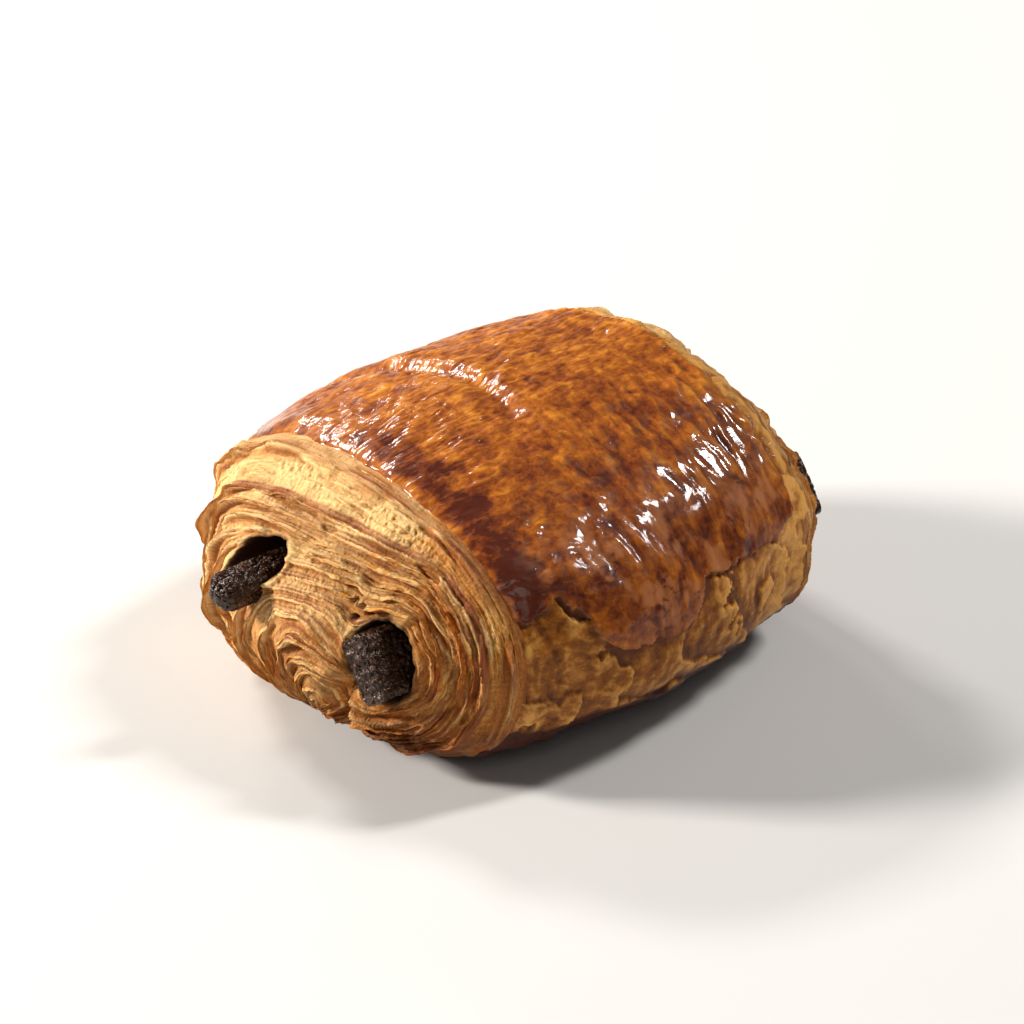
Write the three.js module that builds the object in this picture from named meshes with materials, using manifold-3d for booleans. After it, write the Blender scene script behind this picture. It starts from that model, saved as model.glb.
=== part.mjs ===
// Pain au chocolat: laminated dough rolled round two chocolate batons and baked on a flat tray.
// Millimetres. X runs along the batons with the layered near end at -X, Z is up and the tray is z = 0.
import * as THREE from 'three';
import { mergeVertices } from 'three/addons/utils/BufferGeometryUtils.js';
import Module from 'manifold-3d';

const wasm = await Module();
wasm.setup();

// Driving dimensions of the loaf
const loaf = {
  centreX: 3.9,
  halfWidth: 42,
  height: 46.5,
  widestLevel: 24.3,
  traySink: 1.5,
  rimX: 27.3,
  topPower: 1.9,
  bottomPower: 2.77,
  heightSlope: 0.06,
  heightBow: -0.012,
  widthSlope: -0.025,
  widthBow: -0.125,
};

// Each end bulges past its rim, and leans with the height and across the loaf
const nearEnd = { bulge: 18.7, power: 1.8, round: 0.75, drop: 0.45, side: 0.1, skew: -0.8, lean: 1.07 };
const farEnd = { bulge: 15.3, power: 2.49, round: 0.57, drop: 0.44, side: 0, skew: -2.6, lean: 0.05 };

// Batons: both are as long, the left one pushed out at the near end and the right one at the far end
const batonLength = 86.8;
const batonGap = 0.35;
const tunnelOverrun = 0.2;
const batonDrift = [0.1, 0.9];
const droopShare = 0.14;
const batonRoughness = { height: 0.22, along: 6, around: 1.4 };

// A baton's end is flat over this share of its section and rounds off over this share of its depth
const tip = { flat: 0.35, reach: 0.3, start: 0.6 };
const leftBaton = {
  nearTipX: -48.65,
  across: 6,
  level: 26.3,
  width: 6.6,
  depth: 5.8,
  turn: 0.25,
  droop: 1.3,
  farShift: [2, -2.5],
  cornerPower: 3,
  seed: 11,
};
const rightBaton = {
  nearTipX: -39.65,
  across: -19.9,
  level: 21.1,
  width: 10.2,
  depth: 6.2,
  turn: 0.92,
  droop: 0,
  farShift: [-3.2, 2.6],
  cornerPower: 4,
  seed: 29,
};

// Hollows left in the dough round the baton ends: centre, half sizes and turn about X
const hollowRoughness = { height: 0.12, size: 3, seed: 23 };
const hollows = [
  { centre: [-41.5, 8, 28.9], half: [5.8, 7.2, 3.5], turn: -0.5 },
  { centre: [-36.8, -21.4, 22], half: [5.4, 4.8, 6.6], turn: 0.15 },
  { centre: [45.4, 7.8, 24.4], half: [7, 6, 4.6], turn: 0.2 },
  { centre: [45.8, -23.6, 24], half: [4, 6.2, 5], turn: 0.9 },
];

// Rolled layers on each end: where they wind round, how many leaves reach the rim and how far they stand out
const nearLeaves = { across: -10.6, level: 12.6, count: 11, height: 0.9, seed: 5 };
const farLeaves = { across: -6.5, level: 13, count: 8, height: 0.8, seed: 7 };
const leafShape = { crest: 0.72, wander: 0.35, wanderSize: 7, fade: 0.35, fadeSize: 10 };
const rimFade = 2.5;
const poleFade = [0.02, 0.14];
const mouthRadius = 5;
const mouthStart = 0.67;
const mouthSeam = { across: -9.6, slant: -0.33, turnLevel: 18, widen: 0.28, sharp: 1.2 };

// The crevice where the roll of the right baton meets the swirl
const crevice = { top: [-15.4, 16.4], elbow: [-13.4, 15.2], bottom: [-10.8, 2], width: 1.6, depth: 3.6 };
const creviceFade = [1, 0.8];

// Top skin: a shallow bowed fold across the crown, and the step where the glaze stops above the pale side
const fold = { x: 1.75, middle: 6, bow: 0.008, endAcross: -4, fade: 7, width: 2.4, depth: 0.9, rise: 0.7 };
const foldTop = 38;
const foldTail = 10;
const glazeStep = { level: 25, sway: 2.6, swayX: 9, swayY: 30, height: 0.45, blur: 1.6, seed: 13 };

// Unevenness of the whole crust and, finer, of the pale sides; both die out above the tray
const lump = { size: 11, height: 0.55, seed: 3 };
const blister = { size: 6.5, height: 0.5, overlap: 8, seed: 17 };
const trayFade = 5;

// Mesh fineness
const loafGrid = { around: 72, near: 27, side: 18, far: 13, farCrowding: 1.2 };
const batonGrid = { around: 16, along: 20, cap: 4 };
const tunnelRows = 16;
const hollowGrid = { around: 16, rows: 10 };
const slopeStep = 0.004;
const tiny = 1e-6;

const hashFactors = [374761393, 668265263, 1274126177];
const hashMixer = 1103515245;

function latticeValue(ix, iy, iz, seed) {
  let hash = Math.imul(ix, hashFactors[0]) + Math.imul(iy, hashFactors[1]);
  hash = (hash + Math.imul(iz, hashFactors[2]) + Math.imul(seed, hashMixer)) | 0;
  hash = Math.imul(hash ^ (hash >>> 13), hashMixer);
  return (((hash ^ (hash >>> 16)) >>> 0) / 0xffffffff) * 2 - 1;
}

// Smooth repeatable unevenness between -1 and 1
function unevenness(x, y, z, seed) {
  const cell = [Math.floor(x), Math.floor(y), Math.floor(z)];
  const ease = [x - cell[0], y - cell[1], z - cell[2]].map((t) => t * t * (3 - 2 * t));
  let sum = 0;
  for (let corner = 0; corner < 8; corner++) {
    const step = [corner & 1, (corner >> 1) & 1, corner >> 2];
    const weight = step.reduce((product, on, axis) => product * (on ? ease[axis] : 1 - ease[axis]), 1);
    sum += weight * latticeValue(cell[0] + step[0], cell[1] + step[1], cell[2] + step[2], seed);
  }
  return sum;
}

function unevennessAt(point, kind) {
  return unevenness(point.x / kind.size, point.y / kind.size, point.z / kind.size, kind.seed);
}

// Eased share of the way of a value between two limits, in either order
function smoothStep(from, to, value) {
  const share = THREE.MathUtils.clamp((value - from) / (to - from), 0, 1);
  return share * share * (3 - 2 * share);
}

// One point of the smooth loaf. Station 0 is the near pole, 1 the near rim, 2 the far rim, 3 the far pole.
function loafPoint(station, angle) {
  const near = station < 1;
  const far = station > 2;
  const along = near ? -1 : far ? 1 : 2 * (station - 1) - 1;
  const share = near ? station : far ? 3 - station : 1;
  const halfWidth = loaf.halfWidth * (1 + loaf.widthSlope * along + loaf.widthBow * along * along);
  const crownLevel = loaf.height * (1 + loaf.heightSlope * along + loaf.heightBow * along * along);
  const upper = Math.sin(angle) >= 0;
  const rise = upper ? crownLevel - loaf.widestLevel : loaf.widestLevel + loaf.traySink;
  const power = upper ? loaf.topPower : loaf.bottomPower;
  const spread = Math.abs(Math.cos(angle) / halfWidth) ** power + Math.abs(Math.sin(angle) / rise) ** power;
  const radius = spread ** (-1 / power);
  const across = radius * Math.cos(angle) * share;
  const lift = radius * Math.sin(angle) * share;
  const end = along < 0 ? nearEnd : farEnd;
  const lean = Math.abs(along) * (end.skew * (across / halfWidth) + end.lean * (lift / loaf.height));
  const swell = 1 - end.drop * (lift / loaf.widestLevel) + end.side * (across / halfWidth);
  const bulge = end.bulge * Math.max(1 - share ** end.power, 0) ** end.round * swell;
  const x = loaf.centreX + loaf.rimX * along + lean + Math.sign(along) * (near || far ? bulge : 0);
  return new THREE.Vector3(x, across, Math.max(loaf.widestLevel + lift, 0));
}

// How far inside the outline a point of an end lies
function inwardDistance(station, angle) {
  const share = station < 1 ? station : 3 - station;
  const rim = loafPoint(station < 1 ? 1 : 2, angle);
  return (1 - share) * Math.hypot(rim.y, rim.z - loaf.widestLevel);
}

// Number of the dough leaf at a point of an end, from 0 at the middle of the roll to 1 at the rim
function leafShare(point, inward, leaves) {
  const toSwirl = Math.hypot(point.y - leaves.across, point.z - leaves.level);
  const toBaton = Math.hypot(point.y - rightBaton.across, point.z - rightBaton.level);
  const toMouth = Math.max(toBaton - mouthRadius, 0);
  const swirlSide = toSwirl / (toSwirl + inward + tiny);
  const mouthSide = mouthStart + (1 - mouthStart) * (toMouth / (toMouth + inward + tiny));
  const seam = mouthSeam.across + mouthSeam.slant * Math.min(point.z, mouthSeam.turnLevel);
  const width = mouthSeam.sharp + mouthSeam.widen * Math.max(point.z - mouthSeam.turnLevel, 0);
  const blend = smoothStep(seam - width, seam + width, point.y);
  return mouthSide + (swirlSide - mouthSide) * blend;
}

// A leaf rises slowly and drops off at its edge
function leafProfile(phase) {
  const place = phase - Math.floor(phase);
  return place < leafShape.crest ? place / leafShape.crest : (1 - place) / (1 - leafShape.crest);
}

function endRelief(point, station, angle) {
  const near = station < 1;
  const inward = inwardDistance(station, angle);
  const leaves = near ? nearLeaves : farLeaves;
  const share = leafShare(point, inward, leaves);
  const { wanderSize, fadeSize } = leafShape;
  const wander = leafShape.wander * unevenness(point.y / wanderSize, point.z / wanderSize, 0, leaves.seed);
  const thinning = leafShape.fade * unevenness(point.y / fadeSize, point.z / fadeSize, fadeSize, leaves.seed);
  const fade = smoothStep(0, rimFade, inward) * smoothStep(...poleFade, near ? station : 3 - station);
  const strength = (1 - leafShape.fade + thinning) * fade;
  return leaves.height * strength * (leafProfile(leaves.count * share + wander) - 0.5);
}

function distanceToLine(y, z, from, to) {
  const run = [to[0] - from[0], to[1] - from[1]];
  const length = run[0] ** 2 + run[1] ** 2;
  const share = THREE.MathUtils.clamp(((y - from[0]) * run[0] + (z - from[1]) * run[1]) / length, 0, 1);
  return Math.hypot(y - from[0] - share * run[0], z - from[1] - share * run[1]);
}

// How far the near end is pushed back into the loaf by the crevice
function nearSetback(point, station) {
  const toTop = distanceToLine(point.y, point.z, crevice.top, crevice.elbow);
  const toBottom = distanceToLine(point.y, point.z, crevice.elbow, crevice.bottom);
  const away = Math.min(toTop, toBottom) / crevice.width;
  return crevice.depth * smoothStep(...creviceFade, station) * Math.exp(-away * away);
}

function topRelief(point) {
  const foldX = fold.x - fold.bow * (point.y - fold.middle) ** 2;
  const away = (point.x - foldX) / fold.width;
  const reach = smoothStep(fold.endAcross - fold.fade, fold.endAcross, point.y);
  const onTop = smoothStep(loaf.widestLevel, foldTop, point.z);
  const beyond = smoothStep(-1, 1, away) * smoothStep(foldTail, 1, away);
  const crownFold = reach * onTop * (fold.rise * beyond - fold.depth * Math.exp(-away * away));
  const { swayX, swayY, blur } = glazeStep;
  const sway = unevenness(point.x / swayX, point.y / swayY, 0, glazeStep.seed);
  const edge = glazeStep.level + glazeStep.sway * sway;
  const unglazed = -glazeStep.height * smoothStep(edge + blur, edge - blur, point.z);
  const blistered = blister.height * smoothStep(edge + blister.overlap, edge, point.z);
  return crownFold + unglazed + blistered * unevennessAt(point, blister);
}

function loafSkin(station, angle) {
  const point = loafPoint(station, angle);
  if (point.z <= 0) return point;
  const onward = loafPoint(Math.min(station + slopeStep, 3 - slopeStep), angle);
  const backward = loafPoint(Math.max(station - slopeStep, slopeStep), angle);
  const turned = loafPoint(station, angle + slopeStep);
  const turnedBack = loafPoint(station, angle - slopeStep);
  const normal = onward.sub(backward).cross(turned.sub(turnedBack)).negate();
  if (normal.lengthSq() < tiny * tiny) normal.set(station < 1 ? -1 : 1, 0, 0);
  normal.normalize();
  const onEnd = station < 1 || station > 2;
  const clearOfTray = smoothStep(0, trayFade, point.z);
  const detail = onEnd ? endRelief(point, station, angle) : topRelief(point);
  point.addScaledVector(normal, clearOfTray * (detail + lump.height * unevennessAt(point, lump)));
  if (station < 1) point.x += nearSetback(point, station);
  point.z = Math.max(point.z, 0);
  return point;
}

// Closed mesh from rings of points between two poles; the rings run clockwise seen from the first pole
function ringBody(firstPole, rings, lastPole) {
  const around = rings[0].length;
  const points = [firstPole, ...rings.flat(), lastPole];
  const last = points.length - 1;
  const faces = [];
  for (let side = 0; side < around; side++) {
    const next = (side + 1) % around;
    faces.push(0, 1 + next, 1 + side);
    for (let ring = 1; ring < rings.length; ring++) {
      const low = 1 + (ring - 1) * around;
      const high = low + around;
      faces.push(low + side, low + next, high + next, low + side, high + next, high + side);
    }
    const end = 1 + (rings.length - 1) * around;
    faces.push(last, end + side, end + next);
  }
  return closedGeometry(points.flatMap((point) => point.toArray()), faces);
}

function closedGeometry(positions, faces) {
  const geometry = new THREE.BufferGeometry();
  geometry.setAttribute('position', new THREE.Float32BufferAttribute(positions, 3));
  geometry.setIndex(faces);
  return mergeVertices(geometry);
}

function toSolid(geometry) {
  const vertProperties = new Float32Array(geometry.attributes.position.array);
  const triVerts = new Uint32Array(geometry.index.array);
  return new wasm.Manifold(new wasm.Mesh({ numProp: 3, vertProperties, triVerts }));
}

function toGeometry(solid) {
  const mesh = solid.getMesh();
  return closedGeometry(Array.from(mesh.vertProperties), Array.from(mesh.triVerts));
}

function loafBody() {
  const stations = [];
  for (let row = 1; row < loafGrid.near; row++) stations.push(row / loafGrid.near);
  for (let row = 0; row <= loafGrid.side; row++) stations.push(1 + row / loafGrid.side);
  for (let row = 1; row < loafGrid.far; row++) {
    stations.push(2 + (row / loafGrid.far) ** loafGrid.farCrowding);
  }
  const ring = (station) => Array.from({ length: loafGrid.around }, (_, side) =>
    loafSkin(station, (side / loafGrid.around) * 2 * Math.PI));
  return ringBody(loafSkin(tiny, 0), stations.map(ring), loafSkin(3 - tiny, 0));
}

// Middle of a baton at a share of its length: it droops at the near end and drifts towards the far end
function batonMiddle(baton, share) {
  const drift = smoothStep(...batonDrift, share);
  const sag = baton.droop * smoothStep(droopShare, 0, share);
  const x = baton.nearTipX + batonLength * share;
  const across = baton.across + baton.farShift[0] * drift;
  return new THREE.Vector3(x, across, baton.level + baton.farShift[1] * drift - sag);
}

function batonRing(baton, share, scale, roughness, grow) {
  const { along, around } = batonRoughness;
  const middle = batonMiddle(baton, THREE.MathUtils.clamp(share, 0, 1));
  middle.x = baton.nearTipX + batonLength * share;
  return Array.from({ length: batonGrid.around }, (_, side) => {
    const angle = (side / batonGrid.around) * 2 * Math.PI;
    const cos = Math.cos(angle);
    const sin = Math.sin(angle);
    const power = baton.cornerPower;
    const spread = Math.abs(cos / (baton.width / 2)) ** power + Math.abs(sin / (baton.depth / 2)) ** power;
    const uneven = roughness * unevenness(middle.x / along, cos * around, sin * around, baton.seed);
    const radius = (spread ** (-1 / power) + uneven) * scale + grow;
    const across = radius * Math.cos(angle + baton.turn);
    const lift = radius * Math.sin(angle + baton.turn);
    return new THREE.Vector3(middle.x, middle.y + across, middle.z + lift);
  });
}

// A baton with melted, rounded ends
function batonBody(baton) {
  const capShare = (tip.reach * baton.depth) / batonLength;
  const nearCap = [];
  const shaft = [];
  const farCap = [];
  for (let row = 0; row < batonGrid.cap; row++) {
    const swing = ((row + tip.start) / batonGrid.cap) * (Math.PI / 2);
    const scale = tip.flat + (1 - tip.flat) * Math.sin(swing);
    nearCap.push(batonRing(baton, capShare * (1 - Math.cos(swing)), scale, batonRoughness.height, 0));
    farCap.unshift(batonRing(baton, 1 - capShare * (1 - Math.cos(swing)), scale, batonRoughness.height, 0));
  }
  for (let row = 0; row <= batonGrid.along; row++) {
    const share = capShare + (1 - 2 * capShare) * (row / batonGrid.along);
    shaft.push(batonRing(baton, share, 1, batonRoughness.height, 0));
  }
  return ringBody(batonMiddle(baton, 0), [...nearCap, ...shaft, ...farCap], batonMiddle(baton, 1));
}

// The tunnel that a baton lies in runs on through both ends of the loaf
function tunnelBody(baton) {
  const rings = [];
  for (let row = 0; row <= tunnelRows; row++) {
    const share = -tunnelOverrun + (1 + 2 * tunnelOverrun) * (row / tunnelRows);
    rings.push(batonRing(baton, share, 1, 0, batonRoughness.height + batonGap));
  }
  const start = batonMiddle(baton, 0);
  const stop = batonMiddle(baton, 1);
  start.x -= tunnelOverrun * batonLength;
  stop.x += tunnelOverrun * batonLength;
  return ringBody(start, rings, stop);
}

function hollowBody(hollow) {
  const turn = new THREE.Matrix4().makeRotationX(hollow.turn);
  const place = (polar, angle) => {
    const point = new THREE.Vector3(
      -Math.cos(polar) * hollow.half[0],
      Math.sin(polar) * Math.cos(angle) * hollow.half[1],
      Math.sin(polar) * Math.sin(angle) * hollow.half[2],
    );
    const uneven = 1 + hollowRoughness.height * unevennessAt(point, hollowRoughness);
    return point.multiplyScalar(uneven).applyMatrix4(turn).add(new THREE.Vector3(...hollow.centre));
  };
  const rings = [];
  for (let row = 1; row < hollowGrid.rows; row++) {
    const polar = (row / hollowGrid.rows) * Math.PI;
    rings.push(Array.from({ length: hollowGrid.around }, (_, side) =>
      place(polar, (side / hollowGrid.around) * 2 * Math.PI)));
  }
  return ringBody(place(0, 0), rings, place(Math.PI, 0));
}

function pastryGeometry() {
  let pastry = toSolid(loafBody());
  for (const baton of [leftBaton, rightBaton]) pastry = pastry.subtract(toSolid(tunnelBody(baton)));
  for (const hollow of hollows) pastry = pastry.subtract(toSolid(hollowBody(hollow)));
  return toGeometry(pastry);
}

function namedMesh(name, geometry, material) {
  geometry.computeVertexNormals();
  const mesh = new THREE.Mesh(geometry, material);
  mesh.name = name;
  return mesh;
}

const crust = new THREE.MeshStandardMaterial({ color: 0xb5702a, roughness: 0.45, metalness: 0 });
const leftChocolate = new THREE.MeshStandardMaterial({ color: 0x2a1610, roughness: 0.5, metalness: 0 });
const rightChocolate = new THREE.MeshStandardMaterial({ color: 0x26130d, roughness: 0.55, metalness: 0 });

const painAuChocolat = new THREE.Group();
painAuChocolat.add(
  namedMesh('pastry', pastryGeometry(), crust),
  namedMesh('baton_left', batonBody(leftBaton), leftChocolate),
  namedMesh('baton_right', batonBody(rightBaton), rightChocolate),
);

export default painAuChocolat;
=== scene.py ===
# Pain au chocolat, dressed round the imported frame. Lengths are millimetres until a mesh is made.
import math

import bpy
import numpy as np
from mathutils import Matrix, Vector


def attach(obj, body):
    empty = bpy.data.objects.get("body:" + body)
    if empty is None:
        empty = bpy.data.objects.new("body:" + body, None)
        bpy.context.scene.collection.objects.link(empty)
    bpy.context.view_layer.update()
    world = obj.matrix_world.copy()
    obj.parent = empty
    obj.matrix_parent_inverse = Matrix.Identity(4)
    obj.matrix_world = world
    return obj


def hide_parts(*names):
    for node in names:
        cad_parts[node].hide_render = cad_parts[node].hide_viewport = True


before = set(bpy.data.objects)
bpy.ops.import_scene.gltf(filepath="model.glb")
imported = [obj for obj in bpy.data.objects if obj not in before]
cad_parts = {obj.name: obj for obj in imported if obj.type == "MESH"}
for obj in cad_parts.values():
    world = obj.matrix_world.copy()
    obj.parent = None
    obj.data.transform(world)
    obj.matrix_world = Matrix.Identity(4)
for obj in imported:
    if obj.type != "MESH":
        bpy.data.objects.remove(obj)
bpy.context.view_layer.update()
mm = 0.001

# The loaf is the frame's own: the same sizes and the same rule for a point of its skin
loaf = {
    "centreX": 3.9, "halfWidth": 42, "height": 46.5, "widestLevel": 24.3, "traySink": 1.5, "rimX": 27.3,
    "topPower": 1.9, "bottomPower": 2.77, "heightSlope": 0.06, "heightBow": -0.012,
    "widthSlope": -0.025, "widthBow": -0.125,
}
nearBulge = {
    "bulge": 18.7, "power": 1.8, "round": 0.75, "drop": 0.45, "side": 0.1, "skew": -0.8, "lean": 1.07,
}
farBulge = {
    "bulge": 15.3, "power": 2.49, "round": 0.57, "drop": 0.44, "side": 0, "skew": -2.6, "lean": 0.05,
}


# Noise and small helpers

def smoothStep(start, stop, value):
    share = np.clip((value - start) / (stop - start), 0, 1)
    return share * share * (3 - 2 * share)


def mixed(first, second, share):
    return first + (second - first) * share


def latticeNoise(x, y, z, seed):  # smooth noise between about -1 and 1
    rng = np.random.default_rng(seed)
    shuffle = np.tile(rng.permutation(256), 2)
    slopes = rng.normal(size=(256, 3))
    slopes /= np.linalg.norm(slopes, axis=1)[:, None]
    place = np.broadcast_arrays(np.asarray(x, float), y, z)
    cell = [np.floor(v).astype(np.int64) for v in place]
    part = [v - c for v, c in zip(place, cell)]
    ease = [p ** 3 * (p * (p * 6 - 15) + 10) for p in part]
    total = np.zeros(place[0].shape)
    for corner in range(8):
        step = (corner & 1, corner >> 1 & 1, corner >> 2)
        key = shuffle[(cell[0] + step[0]) & 255]
        key = shuffle[key + ((cell[1] + step[1]) & 255)]
        key = shuffle[key + ((cell[2] + step[2]) & 255)]
        value = sum(slopes[key, axis] * (part[axis] - step[axis]) for axis in range(3))
        for axis in range(3):
            value = value * (ease[axis] if step[axis] else 1 - ease[axis])
        total += value
    return total * 1.7


def layeredNoise(x, y, z, seed, octaves=3, gain=0.5):
    total, reach, scale = 0, 0, 1
    for octave in range(octaves):
        weight = gain ** octave
        total = total + weight * latticeNoise(x * scale, y * scale, z * scale, seed + 101 * octave)
        reach += weight
        scale *= 2.03
    return total / reach


def cellNoise(x, y, z, seed):  # distance to the nearest and to the second nearest scattered point
    rng = np.random.default_rng(seed)
    shuffle = np.tile(rng.permutation(256), 2)
    jitter = rng.random((256, 3))
    place = np.broadcast_arrays(np.asarray(x, float), y, z)
    cell = [np.floor(v).astype(np.int64) for v in place]
    nearest = np.full(place[0].shape, 9.0)
    second = nearest.copy()
    for step in np.ndindex(3, 3, 3):
        at = [cell[axis] + step[axis] - 1 for axis in range(3)]
        key = shuffle[shuffle[shuffle[at[0] & 255] + (at[1] & 255)] + (at[2] & 255)]
        away = np.sqrt(sum((at[axis] + jitter[key, axis] - place[axis]) ** 2 for axis in range(3)))
        second = np.minimum(second, np.maximum(nearest, away))
        nearest = np.minimum(nearest, away)
    return nearest, second


def softened(field, times, wrap=False):  # neighbours averaged on a grid
    for _ in range(times):
        for axis in (0, 1):
            if wrap and axis == 1:
                field = (np.roll(field, 1, 1) + 2 * field + np.roll(field, -1, 1)) / 4
                continue
            edge = [(1, 1) if a == axis else (0, 0) for a in (0, 1)]
            padded = np.pad(field, edge, mode="edge")
            low, high = (padded[:-2], padded[2:]) if axis == 0 else (padded[:, :-2], padded[:, 2:])
            field = (low + 2 * field + high) / 4
    return field


# The loaf's smooth skin. Station 0 is the near pole, 1 the near rim, 2 the far rim, 3 the far pole

def sectionRadius(along, angle):  # outline of a cross section, measured from its middle, and its half width
    halfWidth = loaf["halfWidth"] * (1 + loaf["widthSlope"] * along + loaf["widthBow"] * along ** 2)
    crown = loaf["height"] * (1 + loaf["heightSlope"] * along + loaf["heightBow"] * along ** 2)
    upper = np.sin(angle) >= 0
    rise = np.where(upper, crown - loaf["widestLevel"], loaf["widestLevel"] + loaf["traySink"])
    power = np.where(upper, loaf["topPower"], loaf["bottomPower"])
    reach = np.abs(np.cos(angle) / halfWidth) ** power + np.abs(np.sin(angle) / rise) ** power
    return reach ** (-1 / power), halfWidth


def loafPoint(station, angle):
    near, far = station < 1, station > 2
    along = np.where(near, -1.0, np.where(far, 1.0, 2 * (station - 1) - 1))
    share = np.where(near, station, np.where(far, 3 - station, 1.0))
    radius, halfWidth = sectionRadius(along, angle)
    level = loaf["widestLevel"]
    across = radius * np.cos(angle) * share
    lift = radius * np.sin(angle) * share
    end = {key: np.where(along < 0, nearBulge[key], farBulge[key]) for key in nearBulge}
    lean = np.abs(along) * (end["skew"] * across / halfWidth + end["lean"] * lift / loaf["height"])
    swell = 1 - end["drop"] * lift / level + end["side"] * across / halfWidth
    bulge = end["bulge"] * np.maximum(1 - share ** end["power"], 0) ** end["round"] * swell
    x = loaf["centreX"] + loaf["rimX"] * along + lean + np.sign(along) * np.where(near | far, bulge, 0)
    return np.stack([x, across, np.maximum(level + lift, 0)], -1)


def loafNormal(station, angle, step=0.004):
    onward = loafPoint(np.minimum(station + step, 3 - step), angle)
    backward = loafPoint(np.maximum(station - step, step), angle)
    turned = loafPoint(station, angle + step) - loafPoint(station, angle - step)
    normal = np.cross(turned, onward - backward)
    length = np.linalg.norm(normal, axis=-1, keepdims=True)
    pole = np.where(station < 1, -1.0, 1.0)[..., None] * np.array([1.0, 0, 0])
    return np.where(length < 1e-9, pole, normal / np.maximum(length, 1e-9))


# Meshes

def makeMesh(name, points, faces, masks, material):
    mesh = bpy.data.meshes.new(name)
    mesh.from_pydata((np.asarray(points) * mm).tolist(), [], faces)
    for mask, values in masks.items():
        layer = mesh.attributes.new(mask, "FLOAT", "POINT")
        layer.data.foreach_set("value", np.asarray(values, np.float32).ravel())
    mesh.shade_smooth()
    mesh.materials.append(material)
    piece = bpy.data.objects.new(name, mesh)
    bpy.context.scene.collection.objects.link(piece)
    return piece


def ringFaces(rows, columns):  # quads between rings, with point 0 before them and one point after them
    faces = []
    last = 1 + rows * columns
    for side in range(columns):
        after = (side + 1) % columns
        faces.append((0, 1 + after, 1 + side))
        faces.append((last, last - columns + side, last - columns + after))
    row = np.arange(rows - 1)[:, None] * columns + 1
    side = np.arange(columns)[None, :]
    after = (side + 1) % columns
    quads = np.stack([row + side, row + after, row + columns + after, row + columns + side], -1)
    return faces + quads.reshape(-1, 4).tolist()


def ringPiece(name, rings, masks, material):  # rings (rows, columns, 3) closed by a point at each end
    rows, columns = rings.shape[:2]
    points = np.concatenate([rings[0].mean(0)[None], rings.reshape(-1, 3), rings[-1].mean(0)[None]])
    full = {}
    for mask, values in masks.items():
        full[mask] = np.concatenate([[values[0].mean()], values.ravel(), [values[-1].mean()]])
    return makeMesh(name, points, ringFaces(rows, columns), full, material)


# Shader helpers

def addNode(tree, kind, inputs=None, **settings):
    node = tree.nodes.new(kind)
    for key, value in settings.items():
        setattr(node, key, value)
    for key, value in (inputs or {}).items():
        if isinstance(value, bpy.types.NodeSocket):
            tree.links.new(value, node.inputs[key])
        else:
            node.inputs[key].default_value = value
    return node


def attributeOf(tree, name):
    return addNode(tree, "ShaderNodeAttribute", attribute_name=name).outputs["Fac"]


def blend(tree, share, first, second):
    node = addNode(tree, "ShaderNodeMix", data_type="RGBA", clamp_factor=True)
    for index, value in ((0, share), (6, first), (7, second)):
        if isinstance(value, bpy.types.NodeSocket):
            tree.links.new(value, node.inputs[index])
        else:
            node.inputs[index].default_value = (*value, 1) if index else value
    return node.outputs[2]


def sums(tree, operation, first, second, third=None, clamp=False):
    inputs = {0: first, 1: second}
    if third is not None:
        inputs[2] = third
    return addNode(tree, "ShaderNodeMath", inputs, operation=operation, use_clamp=clamp).outputs[0]


def added(tree, total, value, weight):  # total + value x weight
    return sums(tree, "MULTIPLY_ADD", value, weight, total)


def spread(tree, value, low, high, toLow=0.0, toHigh=1.0):
    inputs = {"Value": value, "From Min": low, "From Max": high, "To Min": toLow, "To Max": toHigh}
    return addNode(tree, "ShaderNodeMapRange", inputs, interpolation_type="SMOOTHSTEP").outputs[0]


def ramp(tree, value, stops):
    node = addNode(tree, "ShaderNodeValToRGB", {"Fac": value})
    node.color_ramp.elements.remove(node.color_ramp.elements[1])
    for index, (place, colour) in enumerate(stops):
        stop = node.color_ramp.elements[0] if index == 0 else node.color_ramp.elements.new(place)
        stop.position = place
        stop.color = (*colour, 1)
    return node.outputs["Color"]


def bumped(tree, height, depth, normal=None):
    inputs = {"Strength": 1.0, "Distance": depth, "Height": height}
    if normal is not None:
        inputs["Normal"] = normal
    return addNode(tree, "ShaderNodeBump", inputs).outputs[0]


def newGroup(name, inputs, outputs):
    group = bpy.data.node_groups.new(name, "ShaderNodeTree")
    for socket, (kind, value) in inputs.items():
        made = group.interface.new_socket(socket, in_out="INPUT", socket_type=kind)
        if value is not None:
            made.default_value = value
    for socket, kind in outputs.items():
        group.interface.new_socket(socket, in_out="OUTPUT", socket_type=kind)
    return group, group.nodes.new("NodeGroupInput").outputs, group.nodes.new("NodeGroupOutput").inputs


def useGroup(tree, group, inputs):
    node = tree.nodes.new("ShaderNodeGroup")
    node.node_tree = group
    for key, value in inputs.items():
        if isinstance(value, bpy.types.NodeSocket):
            tree.links.new(value, node.inputs[key])
        else:
            node.inputs[key].default_value = value
    return node.outputs


def newMaterial(name):
    material = bpy.data.materials.new(name)
    material.use_nodes = True
    tree = material.node_tree
    tree.nodes.clear()
    shader = tree.nodes.new("ShaderNodeBsdfPrincipled")
    output = tree.nodes.new("ShaderNodeOutputMaterial")
    tree.links.new(shader.outputs[0], output.inputs[0])
    place = tree.nodes.new("ShaderNodeTexCoord").outputs["Object"]
    return material, tree, shader, place


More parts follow.
